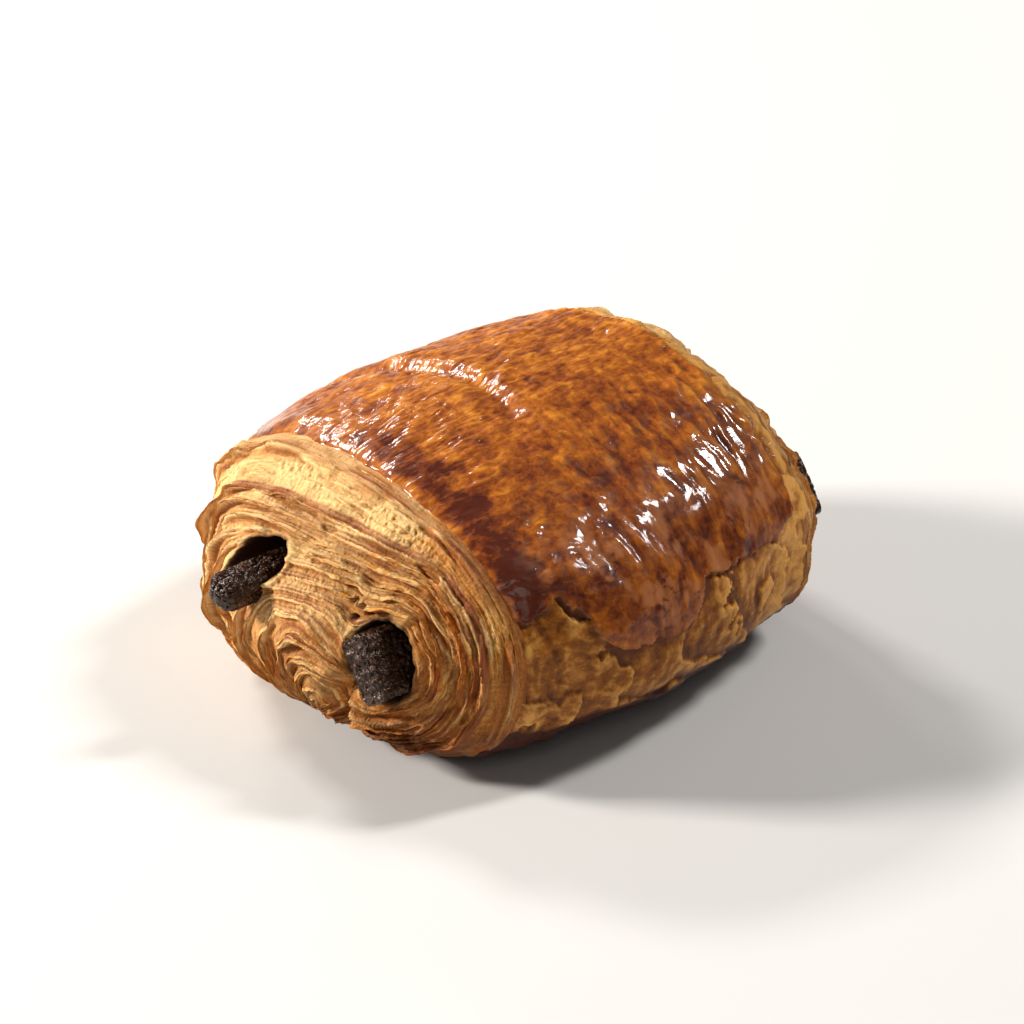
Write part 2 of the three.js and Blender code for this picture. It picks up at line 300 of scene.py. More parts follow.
# Blotches of two sizes, used by the crust, by both ends and by the chocolate
blotchGroup, given, result = newGroup(
    "bakedBlotches",
    {"Place": ("NodeSocketVector", None), "Size mm": ("NodeSocketFloat", 3.0),
     "Fine": ("NodeSocketFloat", 0.4), "Swirl": ("NodeSocketFloat", 0.5)},
    {"Blotch": "NodeSocketFloat"},
)
blotchScale = sums(blotchGroup, "DIVIDE", 1000.0, given["Size mm"])
coarse = addNode(blotchGroup, "ShaderNodeTexNoise", {
    "Vector": given["Place"], "Scale": blotchScale, "Detail": 4.0, "Roughness": 0.55,
    "Distortion": given["Swirl"]}).outputs[0]
fine = addNode(blotchGroup, "ShaderNodeTexNoise", {
    "Vector": given["Place"], "Scale": sums(blotchGroup, "MULTIPLY", blotchScale, 3.7), "Detail": 3.0,
    "Distortion": given["Swirl"]}).outputs[0]
both = addNode(blotchGroup, "ShaderNodeMix", {0: given["Fine"], 2: coarse, 3: fine}).outputs[0]
blotchGroup.links.new(both, result["Blotch"])

# Fine grain as a height with bright specks, used by all three materials
grainGroup, given, result = newGroup(
    "fineGrain",
    {"Place": ("NodeSocketVector", None), "Size mm": ("NodeSocketFloat", 0.5),
     "Pits": ("NodeSocketFloat", 0.5)},
    {"Height": "NodeSocketFloat", "Speck": "NodeSocketFloat"},
)
grainScale = sums(grainGroup, "DIVIDE", 1000.0, given["Size mm"])
grainNoise = addNode(grainGroup, "ShaderNodeTexNoise", {
    "Vector": given["Place"], "Scale": grainScale, "Detail": 3.0, "Roughness": 0.6}).outputs[0]
grainCell = addNode(grainGroup, "ShaderNodeTexVoronoi", {
    "Vector": given["Place"], "Scale": grainScale}).outputs[0]
grainPit = sums(grainGroup, "MULTIPLY", grainCell, given["Pits"])
grainGroup.links.new(sums(grainGroup, "SUBTRACT", grainNoise, grainPit), result["Height"])
grainGroup.links.new(spread(grainGroup, grainCell, 0.22, 0.05), result["Speck"])

crustColours = {
    "dark": (0.080, 0.012, 0.003), "brown": (0.20, 0.042, 0.005), "amber": (0.35, 0.092, 0.007),
    "gold": (0.55, 0.185, 0.016), "honey": (0.82, 0.38, 0.06), "dullFilmAndSheen": (0.41, 0.145, 0.052),
    "sideBrown": (0.125, 0.033, 0.005), "sideGold": (0.31, 0.098, 0.008), "sideLight": (0.70, 0.33, 0.070),
    "bakedBaseAndShade": (0.055, 0.013, 0.006),
    # sizes: along the loaf and round it where there are two
    "blotchMm": 4.0, "grainMm": 0.4, "wrinkleMm": (3.0, 1.7), "streakMm": (1.8, 5.0), "combMm": (0.55, 6.0),
    # what each pattern adds to the tone, which runs from dark to honey; wrinkle crests and raised relief add
    # painted highlight, hollows painted shade
    "toneStart": -0.19, "blotchTone": 0.95, "wrinkleCrestLightTone": 0.45, "reliefLightAndShadeTone": 0.42, "veinTone": -0.05,
    "bakeAndShadeTone": -0.22, "bareReliefLightAndShadeTone": 0.26, "paleTone": 0.24,
    # depths of the fine relief, in metres
    "wrinkleDepth": 0.00016, "streakDepth": 0.00004, "combDepth": 0.00005, "grainDepth": 0.00002,
    "bareGrainDepth": 0.00012, "rimCalm": 0.35,
    "wetness": 0.95, "leastWet": 0.12, "filmWet": 0.4, "coatRoughness": 0.04, "glazeRoughness": 0.45,
    "bareRoughness": 0.50,
}


def stretchedNoise(tree, along, around, sizes, detail, warp):  # noise with its own length each way
    first = sums(tree, "MULTIPLY", along, 1 / (sizes[0] * mm))
    second = sums(tree, "MULTIPLY", around, 1 / (sizes[1] * mm))
    spot = addNode(tree, "ShaderNodeCombineXYZ", {0: first, 1: second}).outputs[0]
    return addNode(tree, "ShaderNodeTexNoise", {
        "Vector": spot, "Scale": 1.0, "Detail": detail, "Roughness": 0.5, "Distortion": warp}).outputs[0]


def crustColour(tree, look, mask, blotch, wrinkle):  # the colour, and how much dull film, coloured as a painted reflection, lies on the glaze
    tone = added(tree, look["toneStart"], blotch, look["blotchTone"])
    tone = added(tree, tone, wrinkle, look["wrinkleCrestLightTone"])
    tone = added(tree, tone, mask["height"], look["reliefLightAndShadeTone"])
    vein = spread(tree, sums(tree, "ABSOLUTE", sums(tree, "SUBTRACT", wrinkle, 0.5), 0.0), 0.03, 0.0)
    tone = added(tree, tone, vein, look["veinTone"])
    tone = added(tree, tone, mask["bakeAndShade"], look["bakeAndShadeTone"])
    glazed = ramp(tree, tone, [(0.26, look["dark"]), (0.39, look["brown"]), (0.52, look["amber"]),
                               (0.66, look["gold"]), (0.82, look["honey"])])
    # the dull film's pinkish colour is a painted reflection of the surroundings
    dullAndSheenShare = sums(tree, "MULTIPLY", mask["dullFilmAndSheen"], spread(tree, blotch, 0.36, 0.50), clamp=True)
    paintedSheenShare = sums(tree, "MULTIPLY", dullAndSheenShare, spread(tree, wrinkle, 0.35, 0.6, 0.35, 0.9))
    glazed = blend(tree, paintedSheenShare, glazed, look["dullFilmAndSheen"])
    bareTone = added(tree, tone, mask["pale"], look["paleTone"])
    bareTone = added(tree, bareTone, mask["height"], look["bareReliefLightAndShadeTone"])
    bare = ramp(tree, bareTone, [(0.30, look["sideBrown"]), (0.50, look["sideGold"]),
                                 (0.76, look["sideLight"])])
    colour = blend(tree, mask["glaze"], bare, glazed)
    return blend(tree, mask["bakedBaseAndShade"], colour, look["bakedBaseAndShade"]), dullAndSheenShare


def crustMaterial():
    look = crustColours
    material, tree, shader, place = newMaterial("bakedCrust")
    mask = {key: attributeOf(tree, key) for key in
            ("glaze", "dullFilmAndSheen", "bakedBaseAndShade", "height", "bakeAndShade", "arc", "steep", "shine", "pale", "comb")}
    blotch = useGroup(tree, blotchGroup, {
        "Place": place, "Size mm": look["blotchMm"], "Fine": 0.35, "Swirl": 0.6})["Blotch"]
    grain = useGroup(tree, grainGroup, {"Place": place, "Size mm": look["grainMm"], "Pits": 0.3})["Height"]
    along = addNode(tree, "ShaderNodeSeparateXYZ", {0: place}).outputs[0]
    lengthwise = stretchedNoise(tree, along, mask["arc"], look["wrinkleMm"], 2.5, 0.9)
    roundwise = stretchedNoise(tree, along, mask["arc"], look["streakMm"], 2.5, 0.6)
    combed = stretchedNoise(tree, along, mask["arc"], look["combMm"], 2.0, 0.3)
    wrinkle = addNode(tree, "ShaderNodeMix", {0: mask["steep"], 2: lengthwise, 3: roundwise}).outputs[0]
    colour, dullAndSheenShare = crustColour(tree, look, mask, blotch, wrinkle)

    depth = spread(tree, mask["steep"], 0, 1, look["wrinkleDepth"], look["streakDepth"])
    depth = sums(tree, "MULTIPLY", depth, spread(tree, mask["comb"], 0, 1, 1.0, look["rimCalm"]))
    combDepth = sums(tree, "MULTIPLY", mask["comb"], look["combDepth"])
    grainDepth = spread(tree, mask["glaze"], 0, 1, look["bareGrainDepth"], look["grainDepth"])
    normal = bumped(tree, wrinkle, depth)
    normal = bumped(tree, combed, combDepth, normal)
    normal = bumped(tree, grain, grainDepth, normal)
    roughness = spread(tree, mask["glaze"], 0, 1, look["bareRoughness"], look["glazeRoughness"])
    wet = sums(tree, "MULTIPLY", mask["glaze"], spread(tree, dullAndSheenShare, 0, 1, 1.0, look["filmWet"]))
    wet = sums(tree, "MULTIPLY", sums(tree, "MULTIPLY", wet, mask["shine"]), look["wetness"])
    wet = sums(tree, "MAXIMUM", wet, look["leastWet"])
    wet = sums(tree, "MULTIPLY", wet, spread(tree, mask["bakedBaseAndShade"], 0, 1, 1.0, 0.2))
    tree.links.new(colour, shader.inputs["Base Color"])
    tree.links.new(normal, shader.inputs["Normal"])
    tree.links.new(normal, shader.inputs["Coat Normal"])
    tree.links.new(roughness, shader.inputs["Roughness"])
    tree.links.new(wet, shader.inputs["Coat Weight"])
    shader.inputs["Coat Roughness"].default_value = look["coatRoughness"]
    shader.inputs["Coat IOR"].default_value = 1.5
    shader.inputs["Specular IOR Level"].default_value = 0.12
    return material


doughColours = {
    "cream": (0.80, 0.48, 0.175), "gold": (0.68, 0.285, 0.040), "brown": (0.36, 0.106, 0.012),
    # the colours for under overhangs and for recesses are painted shade, the crest colour a painted
    # highlight
    "dark": (0.13, 0.034, 0.006), "crest": (0.96, 0.72, 0.35), "under": (0.48, 0.15, 0.016),
    "recessShade": (0.20, 0.058, 0.010), "toast": (0.27, 0.070, 0.017), "stainAndShade": (0.045, 0.011, 0.004),
    "blotchMm": 3.4, "grainMm": 0.5, "streaks": 170.0, "streakRunMm": 4.0,
    "blotchTone": 1.1, "streakTone": -1.6, "grainTone": -0.45, "toneScale": 0.68,  # towards dark
    "grainDepth": 0.00014, "streakDepth": 0.00022,
}


def leafStreaks(tree, look, leaf, calm, place):  # thin streaks that follow the leaves' edges
    run = 1 / (look["streakRunMm"] * mm)
    along = addNode(tree, "ShaderNodeVectorMath", {
        0: place, 1: (0, run, run)}, operation="MULTIPLY").outputs[0]
    number = addNode(tree, "ShaderNodeCombineXYZ", {
        0: sums(tree, "MULTIPLY", leaf, look["streaks"])}).outputs[0]
    spot = addNode(tree, "ShaderNodeVectorMath", {0: along, 1: number}, operation="ADD").outputs[0]
    streak = addNode(tree, "ShaderNodeTexNoise", {
        "Vector": spot, "Scale": 1.0, "Detail": 3.0, "Roughness": 0.65}).outputs[0]
    streak = sums(tree, "SUBTRACT", streak, 0.5)
    crisp = spread(tree, sums(tree, "ABSOLUTE", streak, 0.0), 0.0, 0.10, 0.22, -0.08)
    streak = added(tree, crisp, streak, 0.7)
    return sums(tree, "MULTIPLY", streak, spread(tree, calm, 0, 1, 1.0, 0.25))


def doughMaterial():
    look = doughColours
    material, tree, shader, place = newMaterial("cutDough")
    mask = {key: attributeOf(tree, key) for key in
            ("recessShade", "toast", "bakeAndShade", "stainAndShade", "leaf", "calm", "crest", "under")}
    blotch = useGroup(tree, blotchGroup, {
        "Place": place, "Size mm": look["blotchMm"], "Fine": 0.5, "Swirl": 0.6})["Blotch"]
    grain = useGroup(tree, grainGroup, {"Place": place, "Size mm": look["grainMm"], "Pits": 0.6})["Height"]
    streaky = leafStreaks(tree, look, mask["leaf"], mask["calm"], place)
    tone = added(tree, mask["bakeAndShade"], sums(tree, "SUBTRACT", blotch, 0.5), look["blotchTone"])
    tone = added(tree, tone, streaky, look["streakTone"])
    tone = added(tree, tone, sums(tree, "SUBTRACT", grain, 0.25), look["grainTone"])
    shade = sums(tree, "MULTIPLY", tone, look["toneScale"])
    colour = ramp(tree, shade, [(0.04, look["cream"]), (0.31, look["gold"]), (0.64, look["brown"]),
                                (0.97, look["dark"])])
    lit = sums(tree, "MULTIPLY", mask["crest"], spread(tree, tone, 0.9, 0.2, 0.25, 0.8))
    colour = blend(tree, lit, colour, look["crest"])
    # painted shade under overhangs and in recesses, then toasted browning, then stain with painted shade
    for key, share in (("under", 0.80), ("recessShade", 0.80), ("toast", 1.0), ("stainAndShade", 1.0)):
        colour = blend(tree, sums(tree, "MULTIPLY", mask[key], share), colour, look[key])
    normal = bumped(tree, streaky, look["streakDepth"])
    normal = bumped(tree, grain, look["grainDepth"], normal)
    tree.links.new(colour, shader.inputs["Base Color"])
    tree.links.new(normal, shader.inputs["Normal"])
    tree.links.new(spread(tree, grain, 0, 1, 0.60, 0.46), shader.inputs["Roughness"])
    shader.inputs["Specular IOR Level"].default_value = 0.2
    return material


chocolateColours = {
    "dark": (0.007, 0.0022, 0.0012), "brown": (0.095, 0.036, 0.018), "bloomAndGlint": (0.42, 0.25, 0.16),
    "sheen": (1.0, 0.80, 0.68), "blotchMm": 2.0, "grainMm": 0.6,
    "grainDepth": 0.00018, "blotchDepth": 0.0002, "smooth": 0.10, "rough": 0.30,
}


def chocolateMaterial():
    look = chocolateColours
    material, tree, shader, place = newMaterial("meltedChocolate")
    blotch = useGroup(tree, blotchGroup, {
        "Place": place, "Size mm": look["blotchMm"], "Fine": 0.5, "Swirl": 0.4})["Blotch"]
    grain = useGroup(tree, grainGroup, {"Place": place, "Size mm": look["grainMm"], "Pits": 0.6})
    mottle = added(tree, sums(tree, "MULTIPLY", blotch, 0.6), grain["Height"], 0.9)
    colour = blend(tree, spread(tree, mottle, 0.30, 0.95), look["dark"], look["brown"])
    # light specks: bloom on the chocolate and painted glints
    bloomAndGlintSpecks = sums(tree, "MULTIPLY", grain["Speck"], spread(tree, blotch, 0.42, 0.62))
    colour = blend(tree, sums(tree, "MULTIPLY", bloomAndGlintSpecks, 0.7), colour, look["bloomAndGlint"])
    # cracks painted darkest, as painted shade in them
    colour = blend(tree, attributeOf(tree, "crack"), colour, look["dark"])
    normal = bumped(tree, grain["Height"], look["grainDepth"])
    normal = bumped(tree, blotch, look["blotchDepth"], normal)
    tree.links.new(colour, shader.inputs["Base Color"])
    tree.links.new(normal, shader.inputs["Normal"])
    tree.links.new(spread(tree, blotch, 0.3, 0.7, look["smooth"], look["rough"]), shader.inputs["Roughness"])
    shader.inputs["Specular Tint"].default_value = (*look["sheen"], 1)
    shader.inputs["Specular IOR Level"].default_value = 0.38
    return material


bakedCrust = crustMaterial()
cutDough = doughMaterial()
meltedChocolate = chocolateMaterial()
print("materials made")

# Crust: the rolled outer skin with its glaze, from the near rim to the far rim
crust = {
    "columns": 500, "underColumns": 60, "rows": 160, "underFrom": -0.42,
    "nearEdge": 0.982, "farEdge": 2.03, "edgeSway": 0.009,
    "skirts": [(1.1, 0.25), (5, 1.6)],  # how far the hidden rings at both rims go in and along
    "rollReach": 5.5, "rollDepth": 1.1, "girthRadius": 33, "lumpMm": 11, "lumpHeight": 0.45,
    # the glaze's lower edge, as x and z, on the side that shows and on the back
    "glazeEdge": [(-22, 30.7), (-18, 31.4), (-16, 32.3), (-13.2, 30.5), (-12, 29.4), (-11.5, 26.4),
                  (-9, 24), (-5.8, 22.2), (1, 22.4), (4, 22.2), (6.7, 23.5), (8.6, 27.3), (11, 28.5),
                  (24, 28.1), (27, 27.4), (34, 30.6)],
    "glazeEdgeBack": [(-25, 36), (-18, 33), (-9, 29.5), (-2, 31), (8, 28), (17, 30), (26, 28.5), (34, 31)],
    "glazeWaves": [(2.8, 0.9, 41), (1.1, 0.45, 42)],  # size, height and seed of the edge's wandering
    "glazeStep": 0.5, "glazeFarEdge": (1.990, 1.978),
    "fold": {"x": 1.75, "middle": 6, "bow": 0.008, "endAcross": -4, "fade": 7, "width": 1.5, "depth": 0.7,
             "rise": 0.7},
}
glazeRelief = {  # heights of the wrinkles, then their sizes along the loaf and round it
    "lengthwise": 0.24, "roundwise": 0.52, "narrow": 0.10, "smallCrown": 0.13, "smallSide": 0.06,
    "broadCrown": 0.25, "broadSide": 0.48,
    "lengthwiseMm": (4.6, 2.1), "roundwiseMm": (2.7, 13), "narrowMm": (1.2, 5), "livelyMm": (9, 12),
    "smallMm": 1.4, "broadMm": (4.5, 5), "bend": 0.35, "bendMm": 6, "rimShare": 0.25, "smallAtRim": 0.35,
}
sideRelief = {
    "plateMm": 13, "plateSlant": 0.8, "plateHeight": 1.15,
    # two sizes, shift, seed and octaves of the plates' wandering
    "plateWaves": [(9, 9, 0.85, 17, 1), (3, 3.6, 0.38, 18, 1), (1.0, 1.2, 0.14, 19, 2)],
    "bubbles": 0.20, "folds": 0.20, "crumbs": 0.11, "hem": 0.45, "drop": 0.3,
    "bubbleMm": (2.2, 2.6), "foldMm": (3.4, 11), "crumbMm": 1.3, "hemMm": 2.2, "hemReach": 5,
}
# dark strip of the tray-baked underside; on the -y side it reaches higher, as painted shade where the loaf
# curves under
bakedBaseAndShadeStrip = {"back": 4.5, "front": [(-26, 11.0), (-10, 10.2), (10, 9.6), (34, 9.2)], "ragged": 1.0}


def crownFold(point):  # height of the fold and how near a point lies to it
    fold = crust["fold"]
    foldX = fold["x"] - fold["bow"] * (point[..., 1] - fold["middle"]) ** 2
    away = (point[..., 0] - foldX) / fold["width"]
    reach = smoothStep(fold["endAcross"] - fold["fade"], fold["endAcross"], point[..., 1])
    onTop = smoothStep(loaf["widestLevel"], 38, point[..., 2])
    beyond = smoothStep(-1, 1, away) * smoothStep(10, 1, away)
    height = reach * onTop * (fold["rise"] * beyond - fold["depth"] * np.exp(-away * away))
    return height, reach * onTop * np.exp(-((away + 0.5) / 1.8) ** 2)


def broadLumps(point, size, height):  # the same field on the crust and on both ends
    return height * latticeNoise(point[..., 0] / size, point[..., 1] / size, point[..., 2] / size, 3)


def ridged(x, y, z, seed, octaves=2):  # sharp crests, from about -0.6 to 1
    return 1 - 1.6 * np.abs(layeredNoise(x, y, z, seed, octaves))


def wrinkled(x, arc, sizes, bend, z, seed):  # crests with their own length along the loaf and round it
    return ridged(x / sizes[0] + bend, arc / sizes[1], z, seed)


def glazeShare(point, station):  # height over the glaze's lower edge, and 1 where there is glaze
    x, y, z = point[..., 0], point[..., 1], point[..., 2]
    front = np.interp(x, *zip(*crust["glazeEdge"]))
    back = np.interp(x, *zip(*crust["glazeEdgeBack"]))
    edge = np.where(y < 0, front, back)
    for size, height, seed in crust["glazeWaves"]:
        edge = edge + height * latticeNoise(x / size, y / size, z / size, seed)
    over = z - edge
    torn = station + 0.012 * layeredNoise(x / 3, y / 3, z / 3, 43, 2)
    return over, smoothStep(-0.2, 0.2, over) * smoothStep(*crust["glazeFarEdge"], torn)


def glazedHeight(point, arc, bend, fromRim, steep, comb):  # wrinkles along the crown, then down the side
    look = glazeRelief
    x, y, z = point[..., 0], point[..., 1], point[..., 2]
    roundwise = wrinkled(x, arc, look["roundwiseMm"], bend, 0.3, 51)
    narrow = wrinkled(x, arc, look["narrowMm"], bend, 0.3, 55)
    alongMm, aroundMm = look["lengthwiseMm"]
    lengthwise = ridged(x / alongMm + bend, arc / aroundMm + 2 * bend, 0.6, 54)
    lengthwise = lengthwise * mixed(look["rimShare"], 1, smoothStep(2, 9, fromRim))
    alongMm, aroundMm = look["livelyMm"]
    lively = smoothStep(-0.35, 0.35, latticeNoise(x / alongMm, arc / aroundMm, 0.7, 56))
    side = look["roundwise"] * mixed(0.25, 1, lively) * roundwise + look["narrow"] * narrow
    height = mixed(look["lengthwise"] * lengthwise, side, steep)
    small = mixed(look["smallCrown"], look["smallSide"], steep) * mixed(1, look["smallAtRim"], comb)
    size = look["smallMm"]
    height = height + small * layeredNoise(x / size, y / size, z / size, 53, 3)
    alongMm, aroundMm = look["broadMm"]
    broad = mixed(look["broadCrown"], look["broadSide"], steep)
    return height + broad * layeredNoise(x / alongMm, arc / aroundMm, 0.9, 52, 2)


def bareHeight(point, arc, bend, fromRim):  # torn slanting plates with bubbles, and the painted highlight on their edges with painted shade just below each step
    look = sideRelief
    x, y, z = point[..., 0], point[..., 1], point[..., 2]
    place = (x - look["plateSlant"] * np.abs(arc)) / look["plateMm"]
    for alongMm, aroundMm, shift, seed, octaves in look["plateWaves"]:
        place = place + shift * layeredNoise(x / alongMm, arc / aroundMm, 0.5, seed, octaves)
    share = place - np.floor(place)
    torn = 0.6 + 0.5 * latticeNoise(np.floor(place) * 5.3, x / 7, arc / 7, 20)
    plate = torn * (share ** 1.5 * smoothStep(1.0, 0.90, share) - 0.25)
    nearest = cellNoise(x / look["bubbleMm"][0], arc / look["bubbleMm"][1], 0.5, 61)[0]
    bubbles = smoothStep(0.6, 0.1, nearest) * smoothStep(0.0, 0.4, latticeNoise(x / 5, arc / 5, 0.1, 66))
    folds = wrinkled(x, arc, look["foldMm"], bend, 0.4, 62)
    hem = ridged(fromRim / look["hemMm"] + 0.12 * latticeNoise(arc / 5, 0, 0, 64), arc / 30, 0.1, 65, 1)
    height = look["plateHeight"] * plate + look["bubbles"] * bubbles + look["folds"] * folds
    size = look["crumbMm"]
    height = height + look["crumbs"] * layeredNoise(x / size, y / size, z / size, 63, 3)
    height = height + look["hem"] * hem * smoothStep(look["hemReach"], look["hemReach"] / 2, fromRim)
    # painted highlight just before each plate's drop, painted shade just after it
    edge = smoothStep(0.45, 0.88, share) * smoothStep(0.97, 0.9, share) - 0.6 * smoothStep(0.35, 0.0, share)
    return height - look["drop"], edge * smoothStep(0.2, 0.9, torn)


def crustRelief(point, fromRim, station, angle):
    x, y, z = point[..., 0], point[..., 1], point[..., 2]
    wrapped = (angle + math.pi / 2) % (2 * math.pi) - math.pi / 2
    arc = crust["girthRadius"] * (wrapped - math.pi / 2)
    bendMm = glazeRelief["bendMm"]
    bend = glazeRelief["bend"] * latticeNoise(x / bendMm, arc / bendMm, 0.2, 50)
    over, glaze = glazeShare(point, station)
    steep = smoothStep(4, -20, y) * smoothStep(-16, 6, x)
    comb = smoothStep(15, 9, fromRim) * smoothStep(-12, 0, y) * glaze
    glazed = glazedHeight(point, arc, bend, fromRim, steep, comb)
    bare, litAndShadedEdge = bareHeight(point, arc, bend, fromRim)
    relief = mixed(bare, glazed, glaze) - crust["glazeStep"] * (1 - glaze)
    foldHeight, atFold = crownFold(point)
    lumps = broadLumps(point, crust["lumpMm"], crust["lumpHeight"])

    # dull patches of glaze low on the -y side; their pinkish colour is a painted reflection
    dullFilmAndSheen = smoothStep(-25, -30, y) * smoothStep(40, 35, z) * smoothStep(-20, -12, x)
    dullFilmAndSheen = dullFilmAndSheen * smoothStep(0.0, 0.14, layeredNoise(x / 4.2, arc / 7, 0.5, 71, 3)) * glaze
    # top of the dark strip: baked underside, raised on the -y side as painted shade
    baseTop = mixed(bakedBaseAndShadeStrip["back"], np.interp(x, *zip(*bakedBaseAndShadeStrip["front"])), smoothStep(5, -20, y))
    ragged = bakedBaseAndShadeStrip["ragged"] * layeredNoise(x / 3, y / 3, z / 3, 72, 3)
    strip = smoothStep(1, 3, fromRim) * smoothStep(9, 5, fromRim + 2 * latticeNoise(arc / 6, 0, 0, 73))
    strip = strip * smoothStep(15, 0, y)
    # browner near the near rim and just above the glaze's lower edge, and darker towards the -y side as
    # painted shade
    bakeAndShade = 0.9 * strip + 0.7 * np.exp(-np.maximum(over, 0) / 2.2) + 0.35 * smoothStep(10, -38, y)
    shine = mixed(1, 0.2, smoothStep(4, 20, y) * smoothStep(2, 12, fromRim))
    shine = shine * mixed(1, 0.35, smoothStep(-29, -36, y))
    masks = {
        "glaze": glaze, "dullFilmAndSheen": dullFilmAndSheen, "steep": steep, "comb": comb, "arc": arc * mm, "bakeAndShade": bakeAndShade * glaze,
        "bakedBaseAndShade": smoothStep(1.0, -0.8, z - baseTop + ragged), "shine": np.maximum(shine, atFold),
        # paler towards the far end, plus painted highlight and shade at the plates' edges
        "pale": (smoothStep(22, 31, x) + 0.55 * litAndShadedEdge) * (1 - glaze),
    }
    clear = smoothStep(0, 5, z)
    return lumps * clear + foldHeight, relief * clear, masks


def crustPiece():
    under = crust["underFrom"]
    upper = np.linspace(under, math.pi - under, crust["columns"], endpoint=False)
    lower = np.linspace(math.pi - under, 2 * math.pi + under, crust["underColumns"], endpoint=False)
    angle = np.concatenate([upper, lower])
    wave = latticeNoise(np.cos(angle) * 4, np.sin(angle) * 4, 0, 31)
    start = crust["nearEdge"] + crust["edgeSway"] * wave
    wave = latticeNoise(np.cos(angle) * 4, np.sin(angle) * 4, 5, 32)
    stop = crust["farEdge"] + crust["edgeSway"] * wave
    share = np.linspace(0, 1, crust["rows"])[:, None]
    share = share - 0.06 * np.sin(2 * math.pi * share) / (2 * math.pi)  # closer rows near both rims
    station = mixed(start, stop, share)
    angle = np.broadcast_to(angle, station.shape)
    smooth = loafPoint(station, angle)
    normal = loafNormal(station, angle)
    fromRim = smooth[..., 0] - smooth[:1, :, 0]
    broad, detail, masks = crustRelief(smooth, fromRim, station, angle)
    roll = -crust["rollDepth"] * np.maximum(1 - fromRim / crust["rollReach"], 0) ** 2
    broad = broad + roll * smoothStep(6, 14, smooth[..., 2])
    rings = smooth + normal * (broad + detail)[..., None]
    rings[..., 2] = np.maximum(rings[..., 2], 0)
    # relief over its surroundings, which the colour turns into painted highlight on raised parts and painted
    # shade in hollows
    masks["height"] = detail - softened(detail, 30, wrap=True)
    middle = np.array([0, 0, loaf["widestLevel"]])
    rows = [rings]
    for row, step in ((0, 1), (-1, -1)):
        inward = (middle - rings[row]) * [0, 1, 1]
        inward /= np.linalg.norm(inward, axis=-1, keepdims=True)
        lip, inner = (rings[row] + inward * reach + np.array([along * step, 0, 0])
                      for reach, along in crust["skirts"])
        rows = [inner[None], lip[None], *rows] if step > 0 else [*rows, lip[None], inner[None]]
    rings = np.concatenate(rows)
    rings[..., 2] = np.maximum(rings[..., 2], 0)
    for key, values in masks.items():
        first, last = values[:1], values[-1:]
        masks[key] = np.concatenate([first, first, values, last, last])
    return ringPiece("crust", rings, masks, bakedCrust)


crustShell = crustPiece()
print("crust made", len(crustShell.data.polygons), "faces")

# Ends: the rolled leaves of dough, with the mouths that the batons come out of. A leaf's number runs from 0
# in the middle of the roll to 1 at the rim, edges are such numbers, and a fold is (count, height, length)
mouthSeam = {"across": -9.6, "slant": -0.33, "turnLevel": 18, "widen": 0.28, "sharp": 1.2}
nearFace = {
    "name": "nearEnd", "side": -1, "columns": 385, "rows": 245, "inset": 0.75, "seed": 200,
    "swirl": ((-8.2, 11.2), (-4.6, 6.8)), "roll": (-19.9, 21.1), "mouthRadius": 5, "mouthStart": 0.40,
    "edges": [0.0, 0.11, 0.19, 0.255, 0.31, 0.36, 0.41, 0.455, 0.515, 0.58, 0.635, 0.69, 0.745, 0.80,
              0.95, 1.04],
    "longEdges": [0.95, 0.80, 0.745, 0.69, 0.635, 0.58], "brownEdge": 0.80,
    "smoothPatch": (-3.5, 27.5, 6.5, 4.5), "tierHeight": 1.35, "sunk": 0.55, "rimPale": 0,
    "folds": [(26, 0.32, 9), (48, 0.26, 5), (84, 0.13, 3)],
    "mouths": [
        {"centre": (7.3, 27.6), "half": (6.6, 3.4), "turn": -0.5, "depth": 8.5},
        {"centre": (-20.1, 21.7), "half": (4.9, 6.7), "turn": -0.2, "depth": 5.5},
    ],
    "pits": [(-13.3, 29.3, 0.55), (-14.9, 28.9, 0.45), (-14.3, 27.2, 0.6), (-16.0, 28.4, 0.5)],
    "crevice": [(-15.4, 16.4), (-13.4, 15.2), (-10.8, 2)], "creviceDepth": 3.6, "creviceWidth": 1.6,
}
farFace = {
    "name": "farEnd", "side": 1, "columns": 300, "rows": 190, "inset": 0.75, "seed": 300,
    "swirl": ((-8.5, 13), (-3.5, 12)), "roll": (-19.9, 21.1), "mouthRadius": 5, "mouthStart": 0.42,
    "edges": [0.0, 0.12, 0.21, 0.29, 0.36, 0.43, 0.49, 0.55, 0.61, 0.66, 0.71, 0.76, 0.86, 0.945, 1.04],
    "longEdges": [0.945, 0.86, 0.76, 0.66], "brownEdge": 0.76,
    "smoothPatch": (-6, 26, 6, 5), "tierHeight": 1.35, "sunk": 0.95, "rimPale": 0.45,
    "folds": [(26, 0.30, 8), (50, 0.22, 5), (90, 0.10, 3)],
    "mouths": [
        {"centre": (8.0, 24.0), "half": (5.6, 4.4), "turn": 0.2, "depth": 8.0},
        {"centre": (-23.3, 24.0), "half": (5.6, 4.8), "turn": 0.9, "depth": 5.5},
    ],
    "pits": [], "crevice": None,
}

endLook = {
    "wander": [(8, 0.9, 1), (3.6, 0.45, 3), (1.9, 0.17, 5)],  # size, strength and seed
    "edgeRunMm": 9, "gapDepth": 0.7, "crumbHeight": 0.35, "tornDegrees": 40,
    "tornLeaves": 0.10, "tornShade": 0.16, "tornDry": 0.44,  # heights of the torn grain
    "rimLineMm": 0.75, "rimLineHeight": 0.32, "mouthLip": 0.45, "pitDepth": 1.8,
    "lumpMm": 11, "lumpHeight": 0.5,
    "skirts": [(0.5, 1.2), (3, 3)],  # how far the hidden rings behind the rim go in and back
}


